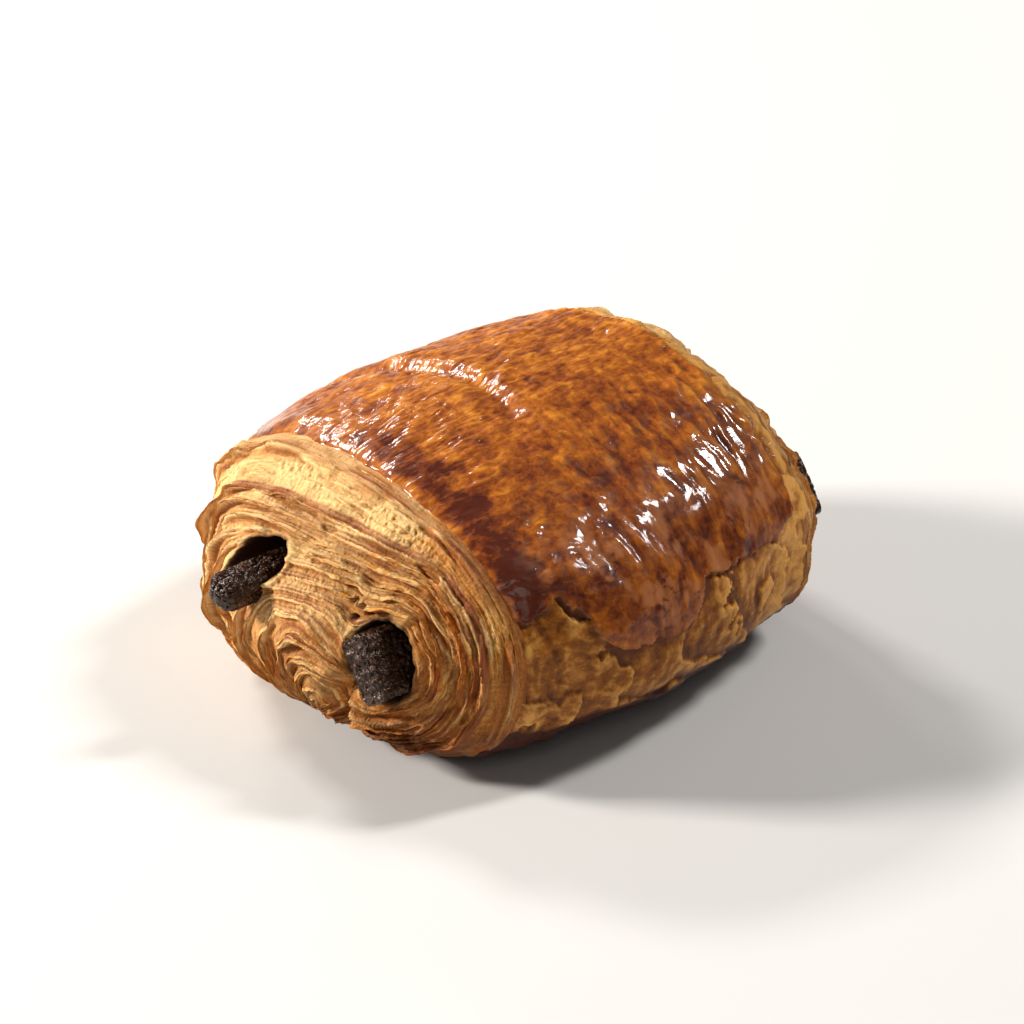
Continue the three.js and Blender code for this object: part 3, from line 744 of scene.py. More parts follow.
def mouthReach(y, z, mouth):  # 0 at the middle of a mouth, 1 on its outline
    (cy, cz), turn = mouth["centre"], mouth["turn"]
    along = (y - cy) * math.cos(turn) + (z - cz) * math.sin(turn)
    up = -(y - cy) * math.sin(turn) + (z - cz) * math.cos(turn)
    return np.hypot(along / mouth["half"][0], up / mouth["half"][1])


def distanceToLine(y, z, start, stop):
    run = np.subtract(stop, start)
    share = ((y - start[0]) * run[0] + (z - start[1]) * run[1]) / (run @ run)
    share = np.clip(share, 0, 1)
    return np.hypot(y - start[0] - share * run[0], z - start[1] - share * run[1])


def leafShare(face, y, z, inward):  # the leaf number, and the millimetres that 1 stands for
    toSwirl = distanceToLine(y, z, *face["swirl"])
    toRoll = np.maximum(np.hypot(y - face["roll"][0], z - face["roll"][1]) - face["mouthRadius"], 0)
    swirlSide = toSwirl / (toSwirl + inward + 1e-6)
    rollSide = face["mouthStart"] + (1 - face["mouthStart"]) * toRoll / (toRoll + inward + 1e-6)
    seam = mouthSeam["across"] + mouthSeam["slant"] * np.minimum(z, mouthSeam["turnLevel"])
    width = mouthSeam["sharp"] + mouthSeam["widen"] * np.maximum(z - mouthSeam["turnLevel"], 0)
    side = smoothStep(seam - width, seam + width, y)
    span = mixed((toRoll + inward) / (1 - face["mouthStart"]), toSwirl + inward, side)
    return mixed(rollSide, swirlSide, side), span


def aroundMouth(y, z, mouth):  # lines part round a mouth as a stream does round a stone
    away = mouthReach(y, z, mouth)
    push = 1 - np.exp(-np.maximum(away, 0.4) ** 2 * 0.55)
    cy, cz = mouth["centre"]
    return cy + (y - cy) * push, cz + (z - cz) * push


def leafAt(face, y, z, station, angle):  # leaf number, its span and the way to the rim
    seed = face["seed"]
    share = station if face["side"] < 0 else 3 - station
    rim = loafPoint(np.where(station < 1.5, 1.0, 2.0), angle)
    reach = np.hypot(rim[..., 1], rim[..., 2] - loaf["widestLevel"])
    inward = (1 - share) * mixed(27, reach, smoothStep(0, 0.7, share))
    wy, wz = aroundMouth(y, z, face["mouths"][0])
    calm = smoothStep(0, 3, inward)
    calm = calm * (1 + 1.2 * np.exp(-(distanceToLine(y, z, *face["swirl"]) / 4) ** 2))
    for size, strength, key in endLook["wander"]:
        wy = wy + calm * strength * latticeNoise(y / size, z / size, 0, seed + key)
        wz = wz + calm * strength * latticeNoise(y / size, z / size, 9, seed + key + 1)
    leaf, span = leafShare(face, wy, wz, inward)
    return leaf, span, inward


def alongEdge(face, number, y, z, middle, swing, key):  # how strong an edge is along its length
    run = endLook["edgeRunMm"]
    wave = latticeNoise(number * 3.7, y / run, z / run, face["seed"] + key)
    return np.clip(middle + swing * wave, 0.0, 1.5)


def tiers(face, leaf, span, inward, y, z):  # each is proud at its inner edge and sinks under the next one's
    edges = np.array(face["edges"])
    index = np.clip(np.searchsorted(edges, leaf), 1, len(edges) - 1)
    toOuter, toInner = (edges[index] - leaf) * span, (leaf - edges[index - 1]) * span
    width = np.maximum(toOuter + toInner, 0.1)
    size = face["tierHeight"] * np.clip(width / 2.6, 0.45, 1.25)
    innerSize, outerSize = (alongEdge(face, index - 1 + k, y, z, 0.6, 1.5, 21) * size for k in (0, 1))
    rise = smoothStep(0.42, 0.04, toOuter)
    relief = innerSize * np.clip(1 - toInner / width, 0, 1) ** 1.4 + outerSize * rise - face["sunk"] * size
    # painted shade in the recess just inside each overhanging edge
    under = smoothStep(1.9, 0.45, toOuter) * (1 - rise) * np.clip(outerSize, 0, 1)
    calm = smoothStep(0.4, 1.1, toInner) * smoothStep(0.6, 1.3, toOuter) * smoothStep(0.1, 0.4, inward)
    calm = calm * smoothStep(-0.6, -0.1, latticeNoise(index * 2.1, y / 9, z / 9, face["seed"] + 61))
    middleY, middleZ, wide, tall = face["smoothPatch"]
    patch = np.exp(-((y - middleY) / wide) ** 2 - ((z - middleZ) / tall) ** 2)
    calm = np.maximum(calm, 0.8 * smoothStep(0.2, 0.6, patch))
    return {"relief": relief * (1 - 0.55 * patch), "under": under, "calm": calm, "patch": patch,
            "inner": index - 1, "toInner": toInner}


def toastLines(face, tier, rimLines, inward, y, z):  # browned lines and patches along the inner edges
    inner, toInner = tier["inner"], tier["toInner"]
    strong = np.where(np.abs(np.array(face["edges"])[inner] - face["brownEdge"]) < 0.001, 1.0, 0.0)
    line = np.exp(-((toInner - 0.2) / (0.27 + 0.22 * strong)) ** 2)
    line = line + 0.7 * np.exp(-((toInner - 0.85) / 0.18) ** 2)
    toast = np.clip(line, 0, 1) * alongEdge(face, inner, y, z, 0.62 + 0.5 * strong, 1.1, 33)
    lobes = smoothStep(0.15, 0.45, latticeNoise((inner + 1) * 2.9, y / 6, z / 6, face["seed"] + 35))
    toast = np.maximum(toast, 0.45 * lobes * smoothStep(3.0, 0.3, toInner))
    rimToast = smoothStep(0.1, 0.8, rimLines) * smoothStep(2.6, 1.6, inward)
    return np.clip(np.maximum(toast, 0.5 * rimToast), 0, 1)


def holes(face, relief, station, y, z):  # the relief fades at the mouths, and pits and a crevice are sunk; mouth walls and pits are darkened as stain with painted shade
    pit, stainAndShade = 0, 0
    for number, mouth in enumerate(face["mouths"]):
        away = mouthReach(y, z, mouth) + 0.09 * layeredNoise(y / 2.2, z / 2.2, number, face["seed"] + 71, 2)
        pit = np.maximum(pit, mouth["depth"] * smoothStep(1.04, 0.62, away))
        stainAndShade = np.maximum(stainAndShade, smoothStep(1.12, 0.96, away))
        relief = relief * smoothStep(0.7, 1.2, away)
        relief = relief + endLook["mouthLip"] * np.exp(-((away - 1.16) / 0.12) ** 2)
    for py, pz, radius in face["pits"]:
        away = np.hypot(y - py, (z - pz) * 1.2) / radius
        pit = np.maximum(pit, endLook["pitDepth"] * smoothStep(1.3, 0.5, away))
        stainAndShade = np.maximum(stainAndShade, smoothStep(1.3, 0.8, away))
    if face["crevice"]:
        top, elbow, bottom = face["crevice"]
        away = np.minimum(distanceToLine(y, z, top, elbow), distanceToLine(y, z, elbow, bottom))
        depth = face["creviceDepth"] * smoothStep(1, 0.8, station)
        pit = np.maximum(pit, depth * np.exp(-(away / face["creviceWidth"]) ** 2))
    return relief, pit, stainAndShade


def endRelief(face, point, station, angle):
    look, seed = endLook, face["seed"]
    y, z = point[..., 1], point[..., 2]
    leaf, span, inward = leafAt(face, y, z, station, angle)
    tier = tiers(face, leaf, span, inward, y, z)
    relief, calm = tier["relief"], tier["calm"]
    dry = smoothStep(-30, -16, y)
    for number, (count, height, run) in enumerate(face["folds"]):
        folded = ridged(leaf * count, y / run, z / run, seed + 81 + number)
        relief = relief + height * (np.sign(folded) * np.abs(folded) ** 1.5 - 0.4) * mixed(1, 0.2, calm)
    gaps = smoothStep(0.22, 0.55, latticeNoise(leaf * 16, y / 5, z / 5, seed + 41)) * (1 - calm)
    turn = math.radians(look["tornDegrees"])
    across, down = y * math.cos(turn) + z * math.sin(turn), z * math.cos(turn) - y * math.sin(turn)
    torn = layeredNoise(across / 1.1, down / 0.5, 0.5, seed + 51, 3, 0.65)
    tornHeight = mixed(look["tornLeaves"], mixed(look["tornShade"], look["tornDry"], dry), calm)
    crumbs = look["crumbHeight"] * calm * dry * layeredNoise(y / 1.9, z / 1.9, 3.5, seed + 53, 2)
    relief = relief - look["gapDepth"] * gaps + torn * tornHeight + crumbs
    wavy = inward / look["rimLineMm"] + 0.3 * latticeNoise(y / 4, z / 4, 0, seed + 55)
    rimLines = ridged(wavy, y / 14, z / 14, seed + 56, 1)
    relief = relief * mixed(0.4, 1, smoothStep(0.3, 3.5, inward))
    atRim = smoothStep(3.0, 2.0, inward) * smoothStep(0.0, 0.5, inward)
    relief = relief + look["rimLineHeight"] * rimLines * atRim
    relief, pit, stainAndShade = holes(face, relief, station, y, z)
    return {
        "relief": relief, "pit": pit, "stainAndShade": stainAndShade, "inward": inward, "leaf": leaf, "patch": tier["patch"],
        "toast": toastLines(face, tier, rimLines, inward, y, z), "calm": mixed(0.4, calm, dry),
        # painted shade under overhanging edges and in the gaps between leaves
        "under": np.maximum(tier["under"], 0.7 * gaps),
    }


def endSkin(face, station, angle):  # points of an end with its relief, the smooth normals and what was found
    smooth = loafPoint(station, angle)
    normal = loafNormal(station, angle)
    found = endRelief(face, smooth, station, angle)
    y, z = smooth[..., 1], smooth[..., 2]
    lumps = broadLumps(smooth, endLook["lumpMm"], endLook["lumpHeight"])
    clear = smoothStep(0, 4, z)
    under = face["inset"] * smoothStep(1.6, 0.2, found["inward"])
    points = smooth + normal * ((found["relief"] + lumps - under) * clear)[..., None]
    points[..., 0] -= face["side"] * found["pit"]
    points[..., 2] = np.maximum(points[..., 2], 0)
    # painted shade and light: darker low down and towards the -y side, darkest low on that side, lighter
    # towards +y; also paler in calm patches, toasted at the rim and varied at random
    low = smoothStep(13, 4, z) * smoothStep(5, -12, y)
    bakeAndShade = 0.02 + 0.30 * smoothStep(34, 8, z) + 0.60 * smoothStep(-8, -28, y) + 1.15 * low
    bakeAndShade = bakeAndShade - 0.15 * smoothStep(-12, 4, y) - 0.16 * found["patch"] - 0.20 * found["calm"]
    bakeAndShade = bakeAndShade + 0.25 * smoothStep(1.5, 0, found["inward"])
    bakeAndShade = bakeAndShade - face["rimPale"] * smoothStep(3, 0, found["inward"]) * smoothStep(6, 14, z)
    found["bakeAndShade"] = bakeAndShade + 0.40 * latticeNoise(found["leaf"] * 15, y / 8, z / 8, face["seed"] + 91)
    # darker along the bottom, higher on the -y side: baked underside with painted shade
    bottomBakeAndShade = 0.55 * smoothStep(7, 2.5, z + 3 * (1 - smoothStep(0, -15, y)))
    found["stainAndShade"] = np.maximum(found["stainAndShade"], bottomBakeAndShade)
    return points, normal, found


def discGrid(columns, rows):  # an even grid pressed into a disc: share of the radius and elliptical angle
    a, b = np.meshgrid(np.linspace(-1, 1, columns), np.linspace(-1, 1, rows), indexing="ij")
    wide = np.abs(a) >= np.abs(b)
    first = np.where(wide, a, b)
    ratio = np.where(wide, b, a) / np.where(first == 0, 1, first)
    turn = np.where(wide, math.pi / 4 * ratio, math.pi / 2 - math.pi / 4 * ratio)
    dx, dy = first * np.cos(turn), first * np.sin(turn)
    share = np.hypot(dx, dy)
    share = share * (1.2 - 0.2 * share)  # closer rows towards the rim
    halfHeight, halfWidth = 24, 40
    return share, np.arctan2(dy * halfHeight, dx * halfWidth)


def closedBack(face, points):  # faces of the grid, then a skirt and a fan that close it behind
    columns, rows = points.shape[:2]
    index = np.arange(columns * rows).reshape(columns, rows)
    quads = np.stack([index[:-1, :-1], index[1:, :-1], index[1:, 1:], index[:-1, 1:]], -1).reshape(-1, 4)
    loop = np.concatenate([index[:, 0], index[-1, 1:], index[-2::-1, -1], index[0, -2:0:-1]])
    rim = points.reshape(-1, 3)[loop]
    inward = (np.array([0, 0, loaf["widestLevel"]]) - rim) * [0, 1, 1]
    inward /= np.linalg.norm(inward, axis=-1, keepdims=True)
    back = np.array([-face["side"], 0, 0])
    skirts = [rim + inward * reach + back * depth for reach, depth in endLook["skirts"]]
    extra = np.concatenate([*skirts, skirts[-1].mean(0)[None]])
    extra[..., 2] = np.maximum(extra[..., 2], 0)
    count, around = columns * rows, len(loop)
    ringA, ringB = count + np.arange(around), count + around + np.arange(around)
    faces = [quads]
    for low, high in ((loop, ringA), (ringA, ringB)):
        faces.append(np.stack([np.roll(low, -1), low, high, np.roll(high, -1)], -1))
    tip = np.full(around, count + 2 * around)
    fan = np.stack([np.roll(ringB, -1), ringB, tip], -1)
    faces = np.concatenate(faces).tolist() + fan.tolist()
    if face["side"] < 0:
        faces = [each[::-1] for each in faces]
    return extra, faces, loop


def endPiece(face):
    share, angle = discGrid(face["columns"], face["rows"])
    share = np.maximum(share, 1e-5)
    station = share if face["side"] < 0 else 3 - share
    points, _, found = endSkin(face, station, angle)
    height = found["relief"]
    broad = np.clip((softened(height, 30) - height) * 0.6, 0, 1)
    finer = (softened(height, 3) - height) * 7
    masks = {key: found[key] for key in ("under", "toast", "bakeAndShade", "leaf", "calm")}
    # painted shade in broad hollows and fine grooves of the relief
    masks["recessShade"] = np.maximum(broad, 0.85 * np.clip(finer, 0, 1))
    # painted highlight on fine crests of the relief
    masks["crest"] = np.clip(-finer, 0, 1)
    masks["stainAndShade"] = np.clip(found["stainAndShade"], 0, 1)

    extra, faces, loop = closedBack(face, points)
    full = {}
    for key, values in masks.items():
        flat = values.ravel()
        full[key] = np.concatenate([flat, flat[loop], flat[loop], [0]])
    return makeMesh(face["name"], np.concatenate([points.reshape(-1, 3), extra]), faces, full, cutDough)


nearEnd = endPiece(nearFace)
farEnd = endPiece(farFace)
print("ends made", len(nearEnd.data.polygons), len(farEnd.data.polygons), "faces")

# Leaf edges: thin torn sheets that stand out of both ends, along the lines of the leaves
leafEdges = {
    "nearEnd": {"long": 50, "count": 170, "halfSteps": 46, "stepMm": 0.45, "heightMm": 1.4,
                "thicknessMm": 0.18, "raggedMm": 0.30, "seed": 5},
    "farEnd": {"long": 30, "count": 90, "halfSteps": 40, "stepMm": 0.5, "heightMm": 1.2,
               "thicknessMm": 0.2, "raggedMm": 0.30, "seed": 6},
}
leafShapes = {  # half lengths in steps, with no upper limit but the path's own where it is 0
    "long": {"from": 26, "to": 0, "scale": (0.8, 1.2)},
    "short": {"from": 6, "to": 26, "scale": (0.4, 0.9)},
    "leastSteps": 8, "lean": (0.1, 1.2),
}


def namedField(tree, name, kind="FLOAT"):
    node = addNode(tree, "GeometryNodeInputNamedAttribute", {"Name": name}, data_type=kind)
    return node.outputs["Attribute"]


def leafEdgeTree():  # sweeps an upright thin section along each path, then tears its edge
    tree = bpy.data.node_groups.new("leafEdgeSweep", "GeometryNodeTree")
    sockets = {}
    for name, kind, value in (
        ("Paths", "NodeSocketGeometry", None), ("Leaf Height", "NodeSocketFloat", 0.001),
        ("Leaf Thickness", "NodeSocketFloat", 0.0002), ("Ragged", "NodeSocketFloat", 0.0002),
        ("Seed", "NodeSocketFloat", 0.0), ("Dough", "NodeSocketMaterial", None),
    ):
        socket = tree.interface.new_socket(name, in_out="INPUT", socket_type=kind)
        if value is not None:
            socket.default_value = value
        sockets[name] = socket.identifier
    tree.interface.new_socket("Leaves", in_out="OUTPUT", socket_type="NodeSocketGeometry")
    given = tree.nodes.new("NodeGroupInput").outputs
    result = tree.nodes.new("NodeGroupOutput").inputs
    paths = addNode(tree, "GeometryNodeMeshToCurve", {"Mesh": given["Paths"]}).outputs[0]
    paths = addNode(tree, "GeometryNodeSetCurveNormal", {
        "Curve": paths, "Normal": namedField(tree, "upright", "FLOAT_VECTOR")}, mode="FREE").outputs[0]
    circle = addNode(tree, "GeometryNodeCurvePrimitiveCircle", {"Resolution": 8, "Radius": 0.5}).outputs[0]
    position = tree.nodes.new("GeometryNodeInputPosition").outputs[0]
    height = addNode(tree, "ShaderNodeSeparateXYZ", {0: position}).outputs[0]
    tip = addNode(tree, "ShaderNodeMapRange", {"Value": height, "From Min": 0.0, "From Max": 0.5}).outputs[0]
    circle = addNode(tree, "GeometryNodeStoreNamedAttribute", {
        "Geometry": circle, "Name": "tip", "Value": tip}).outputs[0]
    size = addNode(tree, "ShaderNodeCombineXYZ", {
        0: given["Leaf Height"], 1: given["Leaf Thickness"], 2: 1.0}).outputs[0]
    raised = addNode(tree, "ShaderNodeCombineXYZ", {
        0: sums(tree, "MULTIPLY", given["Leaf Height"], 0.1)}).outputs[0]
    section = addNode(tree, "GeometryNodeTransform", {
        "Geometry": circle, "Translation": raised, "Scale": size}).outputs[0]
    leaves = addNode(tree, "GeometryNodeCurveToMesh", {
        "Curve": paths, "Profile Curve": section, "Scale": namedField(tree, "size"),
        "Fill Caps": True}).outputs[0]
    noise = addNode(tree, "ShaderNodeTexNoise", {
        "W": given["Seed"], "Scale": 650.0, "Detail": 1.5}, noise_dimensions="4D").outputs["Color"]
    shift = addNode(tree, "ShaderNodeVectorMath", {
        0: noise, 1: (0.5, 0.5, 0.5)}, operation="SUBTRACT").outputs[0]
    reach = sums(tree, "MULTIPLY", given["Ragged"], sums(tree, "ADD", namedField(tree, "tip"), 0.15))
    shift = addNode(tree, "ShaderNodeVectorMath", {
        0: shift, "Scale": sums(tree, "MULTIPLY", reach, 2.0)}, operation="SCALE").outputs[0]
    leaves = addNode(tree, "GeometryNodeSetPosition", {"Geometry": leaves, "Offset": shift}).outputs[0]
    toasted = sums(tree, "MULTIPLY", namedField(tree, "tip"), namedField(tree, "toasted"))
    leaves = addNode(tree, "GeometryNodeStoreNamedAttribute", {
        "Geometry": leaves, "Name": "toast", "Value": toasted}).outputs[0]
    leaves = addNode(tree, "GeometryNodeRealizeInstances", {"Geometry": leaves}).outputs[0]
    leaves = addNode(tree, "GeometryNodeSetMaterial", {
        "Geometry": leaves, "Material": given["Dough"]}).outputs[0]
    tree.links.new(leaves, result["Leaves"])
    return tree, sockets


def placeOnEnd(face, y, z):  # station and angle of the skin point that shows at y, z
    lift = z - loaf["widestLevel"]
    angle = np.arctan2(lift, y)
    share = np.hypot(y, lift) / sectionRadius(np.full(y.shape, float(face["side"])), angle)[0]
    return (share if face["side"] < 0 else 3 - share), angle, share


def leafNumber(face, y, z):
    station, angle, _ = placeOnEnd(face, y, z)
    return leafAt(face, y, z, station, angle)[:2]


def traceLeaves(face, look):  # paths of constant leaf number, both ways from random points
    rng = np.random.default_rng(look["seed"])
    tries = look["count"] * 60
    start = np.stack([rng.uniform(-39, 39, tries), rng.uniform(4, 46, tries)], -1)
    share = placeOnEnd(face, start[:, 0], start[:, 1])[2]
    leaf, span = leafNumber(face, start[:, 0], start[:, 1])
    toEdge, toLong = (np.min(np.abs(leaf[:, None] - np.array(face[key])), axis=1) * span
                      for key in ("edges", "longEdges"))
    clear = np.min([mouthReach(start[:, 0], start[:, 1], mouth) for mouth in face["mouths"]], axis=0) > 1.12
    clear &= (share > 0.10) & (share < 0.985)
    long = start[clear & (toLong < 0.12)][:look["long"]]
    short = start[clear & (toLong > 0.3) & ((toEdge < 0.15) | (rng.random(tries) < 0.02))]
    start = np.concatenate([long, short[:look["count"] - len(long)]])
    sides = []
    for way in (-1, 1):
        spot, path = start.copy(), []
        for _ in range(look["halfSteps"]):
            ahead = [leafNumber(face, spot[:, 0] + dy, spot[:, 1] + dz)[0]
                     for dy, dz in ((0.12, 0), (-0.12, 0), (0, 0.12), (0, -0.12))]
            slopeY, slopeZ = ahead[0] - ahead[1], ahead[2] - ahead[3]
            steep = np.hypot(slopeY, slopeZ) + 1e-9
            spot = spot + way * look["stepMm"] * np.stack([-slopeZ / steep, slopeY / steep], -1)
            path.append(spot)
        sides.append(path)
    track = np.array(sides[0][::-1] + [start] + sides[1]).transpose(1, 0, 2)
    return track, rng


def leafRibbons(face, look):  # what every point of the ribbons carries, and the edges that join the points
    track, rng = traceLeaves(face, look)
    y, z = track[..., 0], track[..., 1]
    station, angle, share = placeOnEnd(face, y, z)
    clear = (share < 0.985) & (z > 2.5)
    for mouth in face["mouths"]:
        clear &= mouthReach(y, z, mouth) > 1.08
    points, normal, found = endSkin(face, station, angle)
    middle = look["halfSteps"]
    ribbons = {key: [] for key in ("place", "upright", "size", "toasted", "bakeAndShade", "leaf", "calm")}
    edges, count = [], 0
    for path in range(len(track)):
        isLong = path < look["long"]
        shape = leafShapes["long" if isLong else "short"]
        reach = rng.integers(shape["from"], shape["to"] or middle, 2)
        low, high = middle, middle
        while middle - low < reach[0] and clear[path, low - 1]:
            low -= 1
        while high - middle < reach[1] and clear[path, high + 1]:
            high += 1
        if high - low < leafShapes["leastSteps"]:
            continue
        here = slice(low, high + 1)
        steps = np.linspace(0, 1, high + 1 - low)
        line = points[path, here]
        lean = -face["side"] * np.cross(np.gradient(line, axis=0), normal[path, here])
        lean /= np.linalg.norm(lean, axis=1, keepdims=True) + 1e-9
        upright = normal[path, here] + rng.uniform(*leafShapes["lean"]) * lean
        upright /= np.linalg.norm(upright, axis=1, keepdims=True)
        taper = np.sin(math.pi * steps) ** 0.55
        uneven = 0.75 + 0.55 * latticeNoise(steps * len(steps) / 9, path * 1.7, 0, look["seed"])
        size = taper * uneven * mixed(1, 0.55, found["calm"][path, here]) * rng.uniform(*shape["scale"])
        size = size * mixed(0.3, 1, smoothStep(0.8, 5, found["inward"][path, here]))
        size = size * mixed(0.3, 1, smoothStep(3, 10, z[path, here]))
        leaf = found["leaf"][path, middle]
        isBrown = isLong and abs(leaf - face["brownEdge"]) < 0.02
        toasted = rng.uniform(0.8, 1.0) if isBrown else rng.uniform(0.2, 0.9)
        made = {
            "place": line, "upright": upright, "size": np.maximum(size, 0.05),
            "toasted": np.full(len(line), toasted), "bakeAndShade": found["bakeAndShade"][path, here],
            "leaf": np.full(len(line), leaf), "calm": found["calm"][path, here],
        }
        for key, values in made.items():
            ribbons[key].append(values)
        edges += [(count + i, count + i + 1) for i in range(len(line) - 1)]
        count += len(line)
    return {key: np.concatenate(values) for key, values in ribbons.items()}, edges


def leafEdgePiece(face):
    look = leafEdges[face["name"]]
    ribbons, edges = leafRibbons(face, look)
    mesh = bpy.data.meshes.new(face["name"] + "Paths")
    mesh.from_pydata((ribbons["place"] * mm).tolist(), edges, [])
    layer = mesh.attributes.new("upright", "FLOAT_VECTOR", "POINT")
    layer.data.foreach_set("vector", ribbons["upright"].astype(np.float32).ravel())
    for key in ("size", "toasted", "bakeAndShade", "leaf", "calm"):
        layer = mesh.attributes.new(key, "FLOAT", "POINT")
        layer.data.foreach_set("value", ribbons[key].astype(np.float32))
    carrier = bpy.data.objects.new(face["name"] + "Paths", mesh)
    bpy.context.scene.collection.objects.link(carrier)
    modifier = carrier.modifiers.new("sweep", "NODES")
    modifier.node_group = sweepTree
    settings = {
        "Leaf Height": look["heightMm"] * mm, "Leaf Thickness": look["thicknessMm"] * mm,
        "Ragged": look["raggedMm"] * mm, "Seed": float(look["seed"]), "Dough": cutDough,
    }
    for name, value in settings.items():
        modifier[sweepSockets[name]] = value
    return realized(carrier, face["name"] + "Leaves")


def realized(carrier, name):  # the modifier's result as a plain mesh of its own
    evaluated = carrier.evaluated_get(bpy.context.evaluated_depsgraph_get())
    mesh = bpy.data.meshes.new_from_object(evaluated)
    mesh.shade_smooth()
    mesh.name = name
    piece = bpy.data.objects.new(name, mesh)
    bpy.context.scene.collection.objects.link(piece)
    bpy.data.objects.remove(carrier)
    return piece


sweepTree, sweepSockets = leafEdgeTree()
leafPieces = [leafEdgePiece(nearFace), leafEdgePiece(farFace)]
print("leaf edges made", [len(piece.data.polygons) for piece in leafPieces], "faces")

# Chocolate batons, with their worn tips
batonSkin = {
    "length": 86.8, "columns": 220, "capRows": 40, "nearRows": 90, "middleRows": 40, "farRows": 60,
    "nearShown": 15, "farShown": 12,  # lengths with closer rows
    "dents": 0.20, "grain": 0.13, "crackDepth": 0.22, "ridges": 0.16, "tipCracks": 0.25,
}
batons = {
    "batonLeft": {
        "nearTipX": -48.65, "across": 6, "level": 26.3, "width": 6.6, "depth": 5.8, "turn": 0.25,
        "droop": 0.9, "shiftY": 2, "shiftZ": -2.5, "cornerPower": 3.2, "seed": 11, "cap": 2.4,
        "tipSize": 0.84, "ring": 0.6, "pinch": 0.16, "breakUp": 0.25, "replaces": "baton_left",
    },
    "batonRight": {
        "nearTipX": -40.1, "across": -19.6, "level": 21.2, "width": 10.6, "depth": 6.6, "turn": 0.92,
        "droop": 0, "shiftY": -3.2, "shiftZ": 2.6, "cornerPower": 6.5, "seed": 29, "cap": 0.7,
        "tipSize": 1.0, "ring": 0.15, "pinch": 0.0, "breakUp": 0.7, "replaces": "baton_right",
    },
}


def batonRows(cap):  # places along the length, and how wide the rounded tips are there
    look, length = batonSkin, batonSkin["length"]
    swing = np.linspace(0.02, 1, look["capRows"]) * math.pi / 2
    capShare, capScale = cap * (1 - np.cos(swing)), 0.06 + 0.94 * np.sin(swing) ** 0.9
    nearStop, farStart = look["nearShown"] / length, 1 - look["farShown"] / length
    near = np.linspace(cap, nearStop, look["nearRows"])[1:]
    middle = np.linspace(nearStop, farStart, look["middleRows"])[1:-1]
    far = np.linspace(farStart, 1 - cap, look["farRows"])
    share = np.concatenate([capShare, near, middle, far, (1 - capShare)[::-1][1:]])
    straight = np.ones(len(near) + len(middle) + len(far))
    scale = np.concatenate([capScale, straight, capScale[::-1][1:]])
    return share[:, None], scale[:, None]


def batonPiece(name, baton):
    look, length, seed = batonSkin, batonSkin["length"], baton["seed"]
    angle = np.linspace(0, 2 * math.pi, look["columns"], endpoint=False)
    share, scale = batonRows(baton["cap"] / length)
    pinched = baton["pinch"] * smoothStep(0.03, 0.12, share) * smoothStep(0.5, 0.25, share)
    droop = baton["droop"] * smoothStep(0.14, 0, share) + 4 * pinched
    drift = smoothStep(0.1, 0.9, share)
    power = baton["cornerPower"]
    radius = (np.abs(np.cos(angle) / (baton["width"] / 2)) ** power
              + np.abs(np.sin(angle) / (baton["depth"] / 2)) ** power) ** (-1 / power)
    ring = radius * scale * mixed(baton["tipSize"], 1 - pinched, smoothStep(0, 0.12, share))
    x = baton["nearTipX"] + length * share + 0 * angle
    u, v = ring * np.cos(angle), ring * np.sin(angle)

    rough = look["dents"] * latticeNoise(x / 5, u / 2.2, v / 2.2, seed)
    rough = rough + look["grain"] * layeredNoise(x / 1.3, u / 0.9, v / 0.9, seed + 1, 3)
    nearest, second = cellNoise(x / 2.3, u / 1.5, v / 1.5, seed + 2)
    crack = smoothStep(0.14, 0.0, second - nearest)
    ridge = layeredNoise(x / 6, u / 1.3, v / 1.3, seed + 3, 2)
    rough = rough - look["crackDepth"] * crack + look["ridges"] * (1 - 2 * np.abs(ridge))
    groove = baton["ring"] * np.exp(-(((scale - 0.74) / 0.08) ** 2))
    groove = groove * smoothStep(-0.5, 0.2, latticeNoise(0, u / 2, v / 2, seed))
    shard = layeredNoise(u / 1.4, v / 1.4, x * 0, seed + 5, 3)
    broken = np.round(shard * 4) / 4 * 0.6 + shard * 0.4
    worn = baton["breakUp"] * (broken + 0.3) + look["tipCracks"] * crack
    inward = np.where(share < 0.5, 1, -1) * (groove + smoothStep(1.0, 0.9, scale) * worn)
    u = u + np.cos(angle) * rough * scale
    v = v + np.sin(angle) * rough * scale
    tilt = baton["turn"]
    points = np.stack([
        x + inward,
        baton["across"] + baton["shiftY"] * drift + u * math.cos(tilt) - v * math.sin(tilt),
        baton["level"] + baton["shiftZ"] * drift - droop + u * math.sin(tilt) + v * math.cos(tilt),
    ], -1)
    return ringPiece(name, points, {"crack": crack}, meltedChocolate)


chocolate = {name: batonPiece(name, baton) for name, baton in batons.items()}
print("batons made")

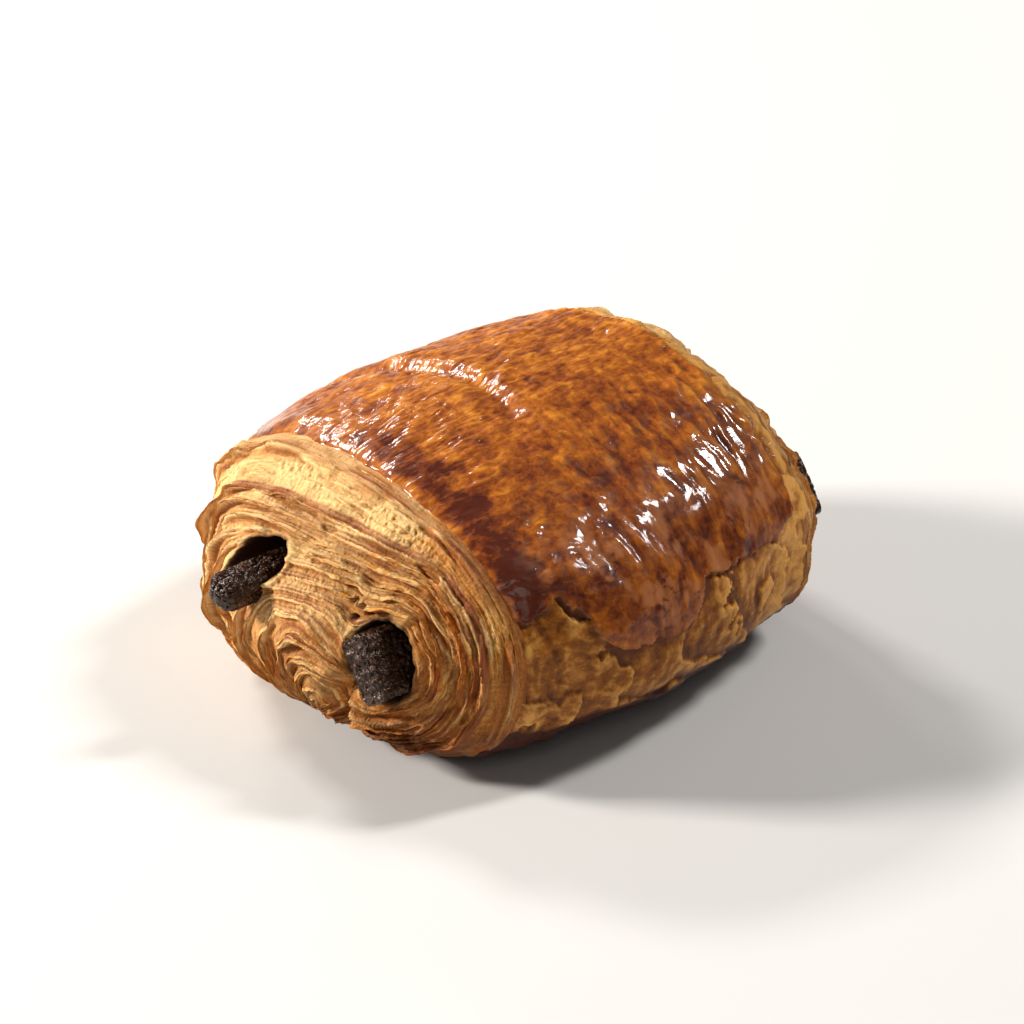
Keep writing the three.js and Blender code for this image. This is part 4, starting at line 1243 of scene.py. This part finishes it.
# Stage: pale floor, soft lights and the camera at the photograph's angle
stage = {
    "floorSide": 3.0, "floorColour": (0.68, 0.67, 0.655), "floorRoughness": 0.8, "world": 0.08,
    "lightsAim": (0, 0, 0.02),
}
view = {
    "place": (-276.5, -347.5, 281.7), "right": (0.7773, -0.6292, 0.0), "up": (0.3145, 0.3886, 0.8661),
    "forward": (0.5449, 0.6732, -0.4999), "fieldDegrees": 18, "sensorMm": 36,
}
lights = [
    {"name": "keyBackLeft", "at": (-0.05, 0.98, 0.74), "size": (0.26, 0.14), "power": 8.0,
     "colour": (1, 0.97, 0.93)},
    {"name": "rimBack", "at": (0.30, 1.06, 0.51), "size": (0.16, 0.05), "power": 1.5,
     "colour": (1, 0.98, 0.95)},
    {"name": "sideLeft", "at": (-0.88, 0.70, 0.54), "size": (0.20, 0.20), "power": 23,
     "colour": (1, 0.96, 0.90)},
    {"name": "rimRight", "at": (0.82, -0.37, 1.14), "size": (0.15, 0.34), "power": 12.5,
     "colour": (1, 0.98, 0.96)},
    {"name": "fillFront", "at": (-0.6, -0.9, 1.0), "size": (0.5, 0.5), "power": 1.2,
     "colour": (1, 0.98, 0.95)},
]


def makeStage():
    half = stage["floorSide"] / 2
    corners = [(-half, -half, 0), (half, -half, 0), (half, half, 0), (-half, half, 0)]
    mesh = bpy.data.meshes.new("floor")
    mesh.from_pydata(corners, [], [(0, 1, 2, 3)])
    floor = bpy.data.objects.new("floor", mesh)
    bpy.context.scene.collection.objects.link(floor)
    material, _, shader, _ = newMaterial("paleFloor")
    shader.inputs["Base Color"].default_value = (*stage["floorColour"], 1)
    shader.inputs["Roughness"].default_value = stage["floorRoughness"]
    mesh.materials.append(material)
    for light in lights:
        data = bpy.data.lights.new(light["name"], "AREA")
        data.shape = "RECTANGLE"
        data.size, data.size_y = light["size"]
        data.energy = light["power"]
        data.color = light["colour"]
        lamp = bpy.data.objects.new(light["name"], data)
        lamp.location = light["at"]
        aim = Vector(stage["lightsAim"]) - lamp.location
        lamp.rotation_euler = aim.to_track_quat("-Z", "Y").to_euler()
        bpy.context.scene.collection.objects.link(lamp)
    world = bpy.data.worlds.new("softWorld")
    world.use_nodes = True
    world.node_tree.nodes["Background"].inputs[0].default_value = (1, 1, 1, 1)
    world.node_tree.nodes["Background"].inputs[1].default_value = stage["world"]
    bpy.context.scene.world = world
    bpy.context.scene.view_settings.view_transform = "Standard"


def makeCamera():
    data = bpy.data.cameras.new("camera")
    data.sensor_width = view["sensorMm"]
    data.lens = view["sensorMm"] / 2 / math.tan(math.radians(view["fieldDegrees"] / 2))
    camera = bpy.data.objects.new("camera", data)
    back = -Vector(view["forward"])
    turn = Matrix((view["right"], view["up"], back)).transposed()
    camera.matrix_world = Matrix.Translation(Vector(view["place"]) * mm) @ turn.to_4x4()
    bpy.context.scene.collection.objects.link(camera)
    bpy.context.scene.camera = camera


makeStage()
makeCamera()

for piece in (crustShell, nearEnd, farEnd, *leafPieces):
    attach(piece, "root")
    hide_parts("pastry")
for name, piece in chocolate.items():
    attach(piece, "root")
    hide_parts(batons[name]["replaces"])
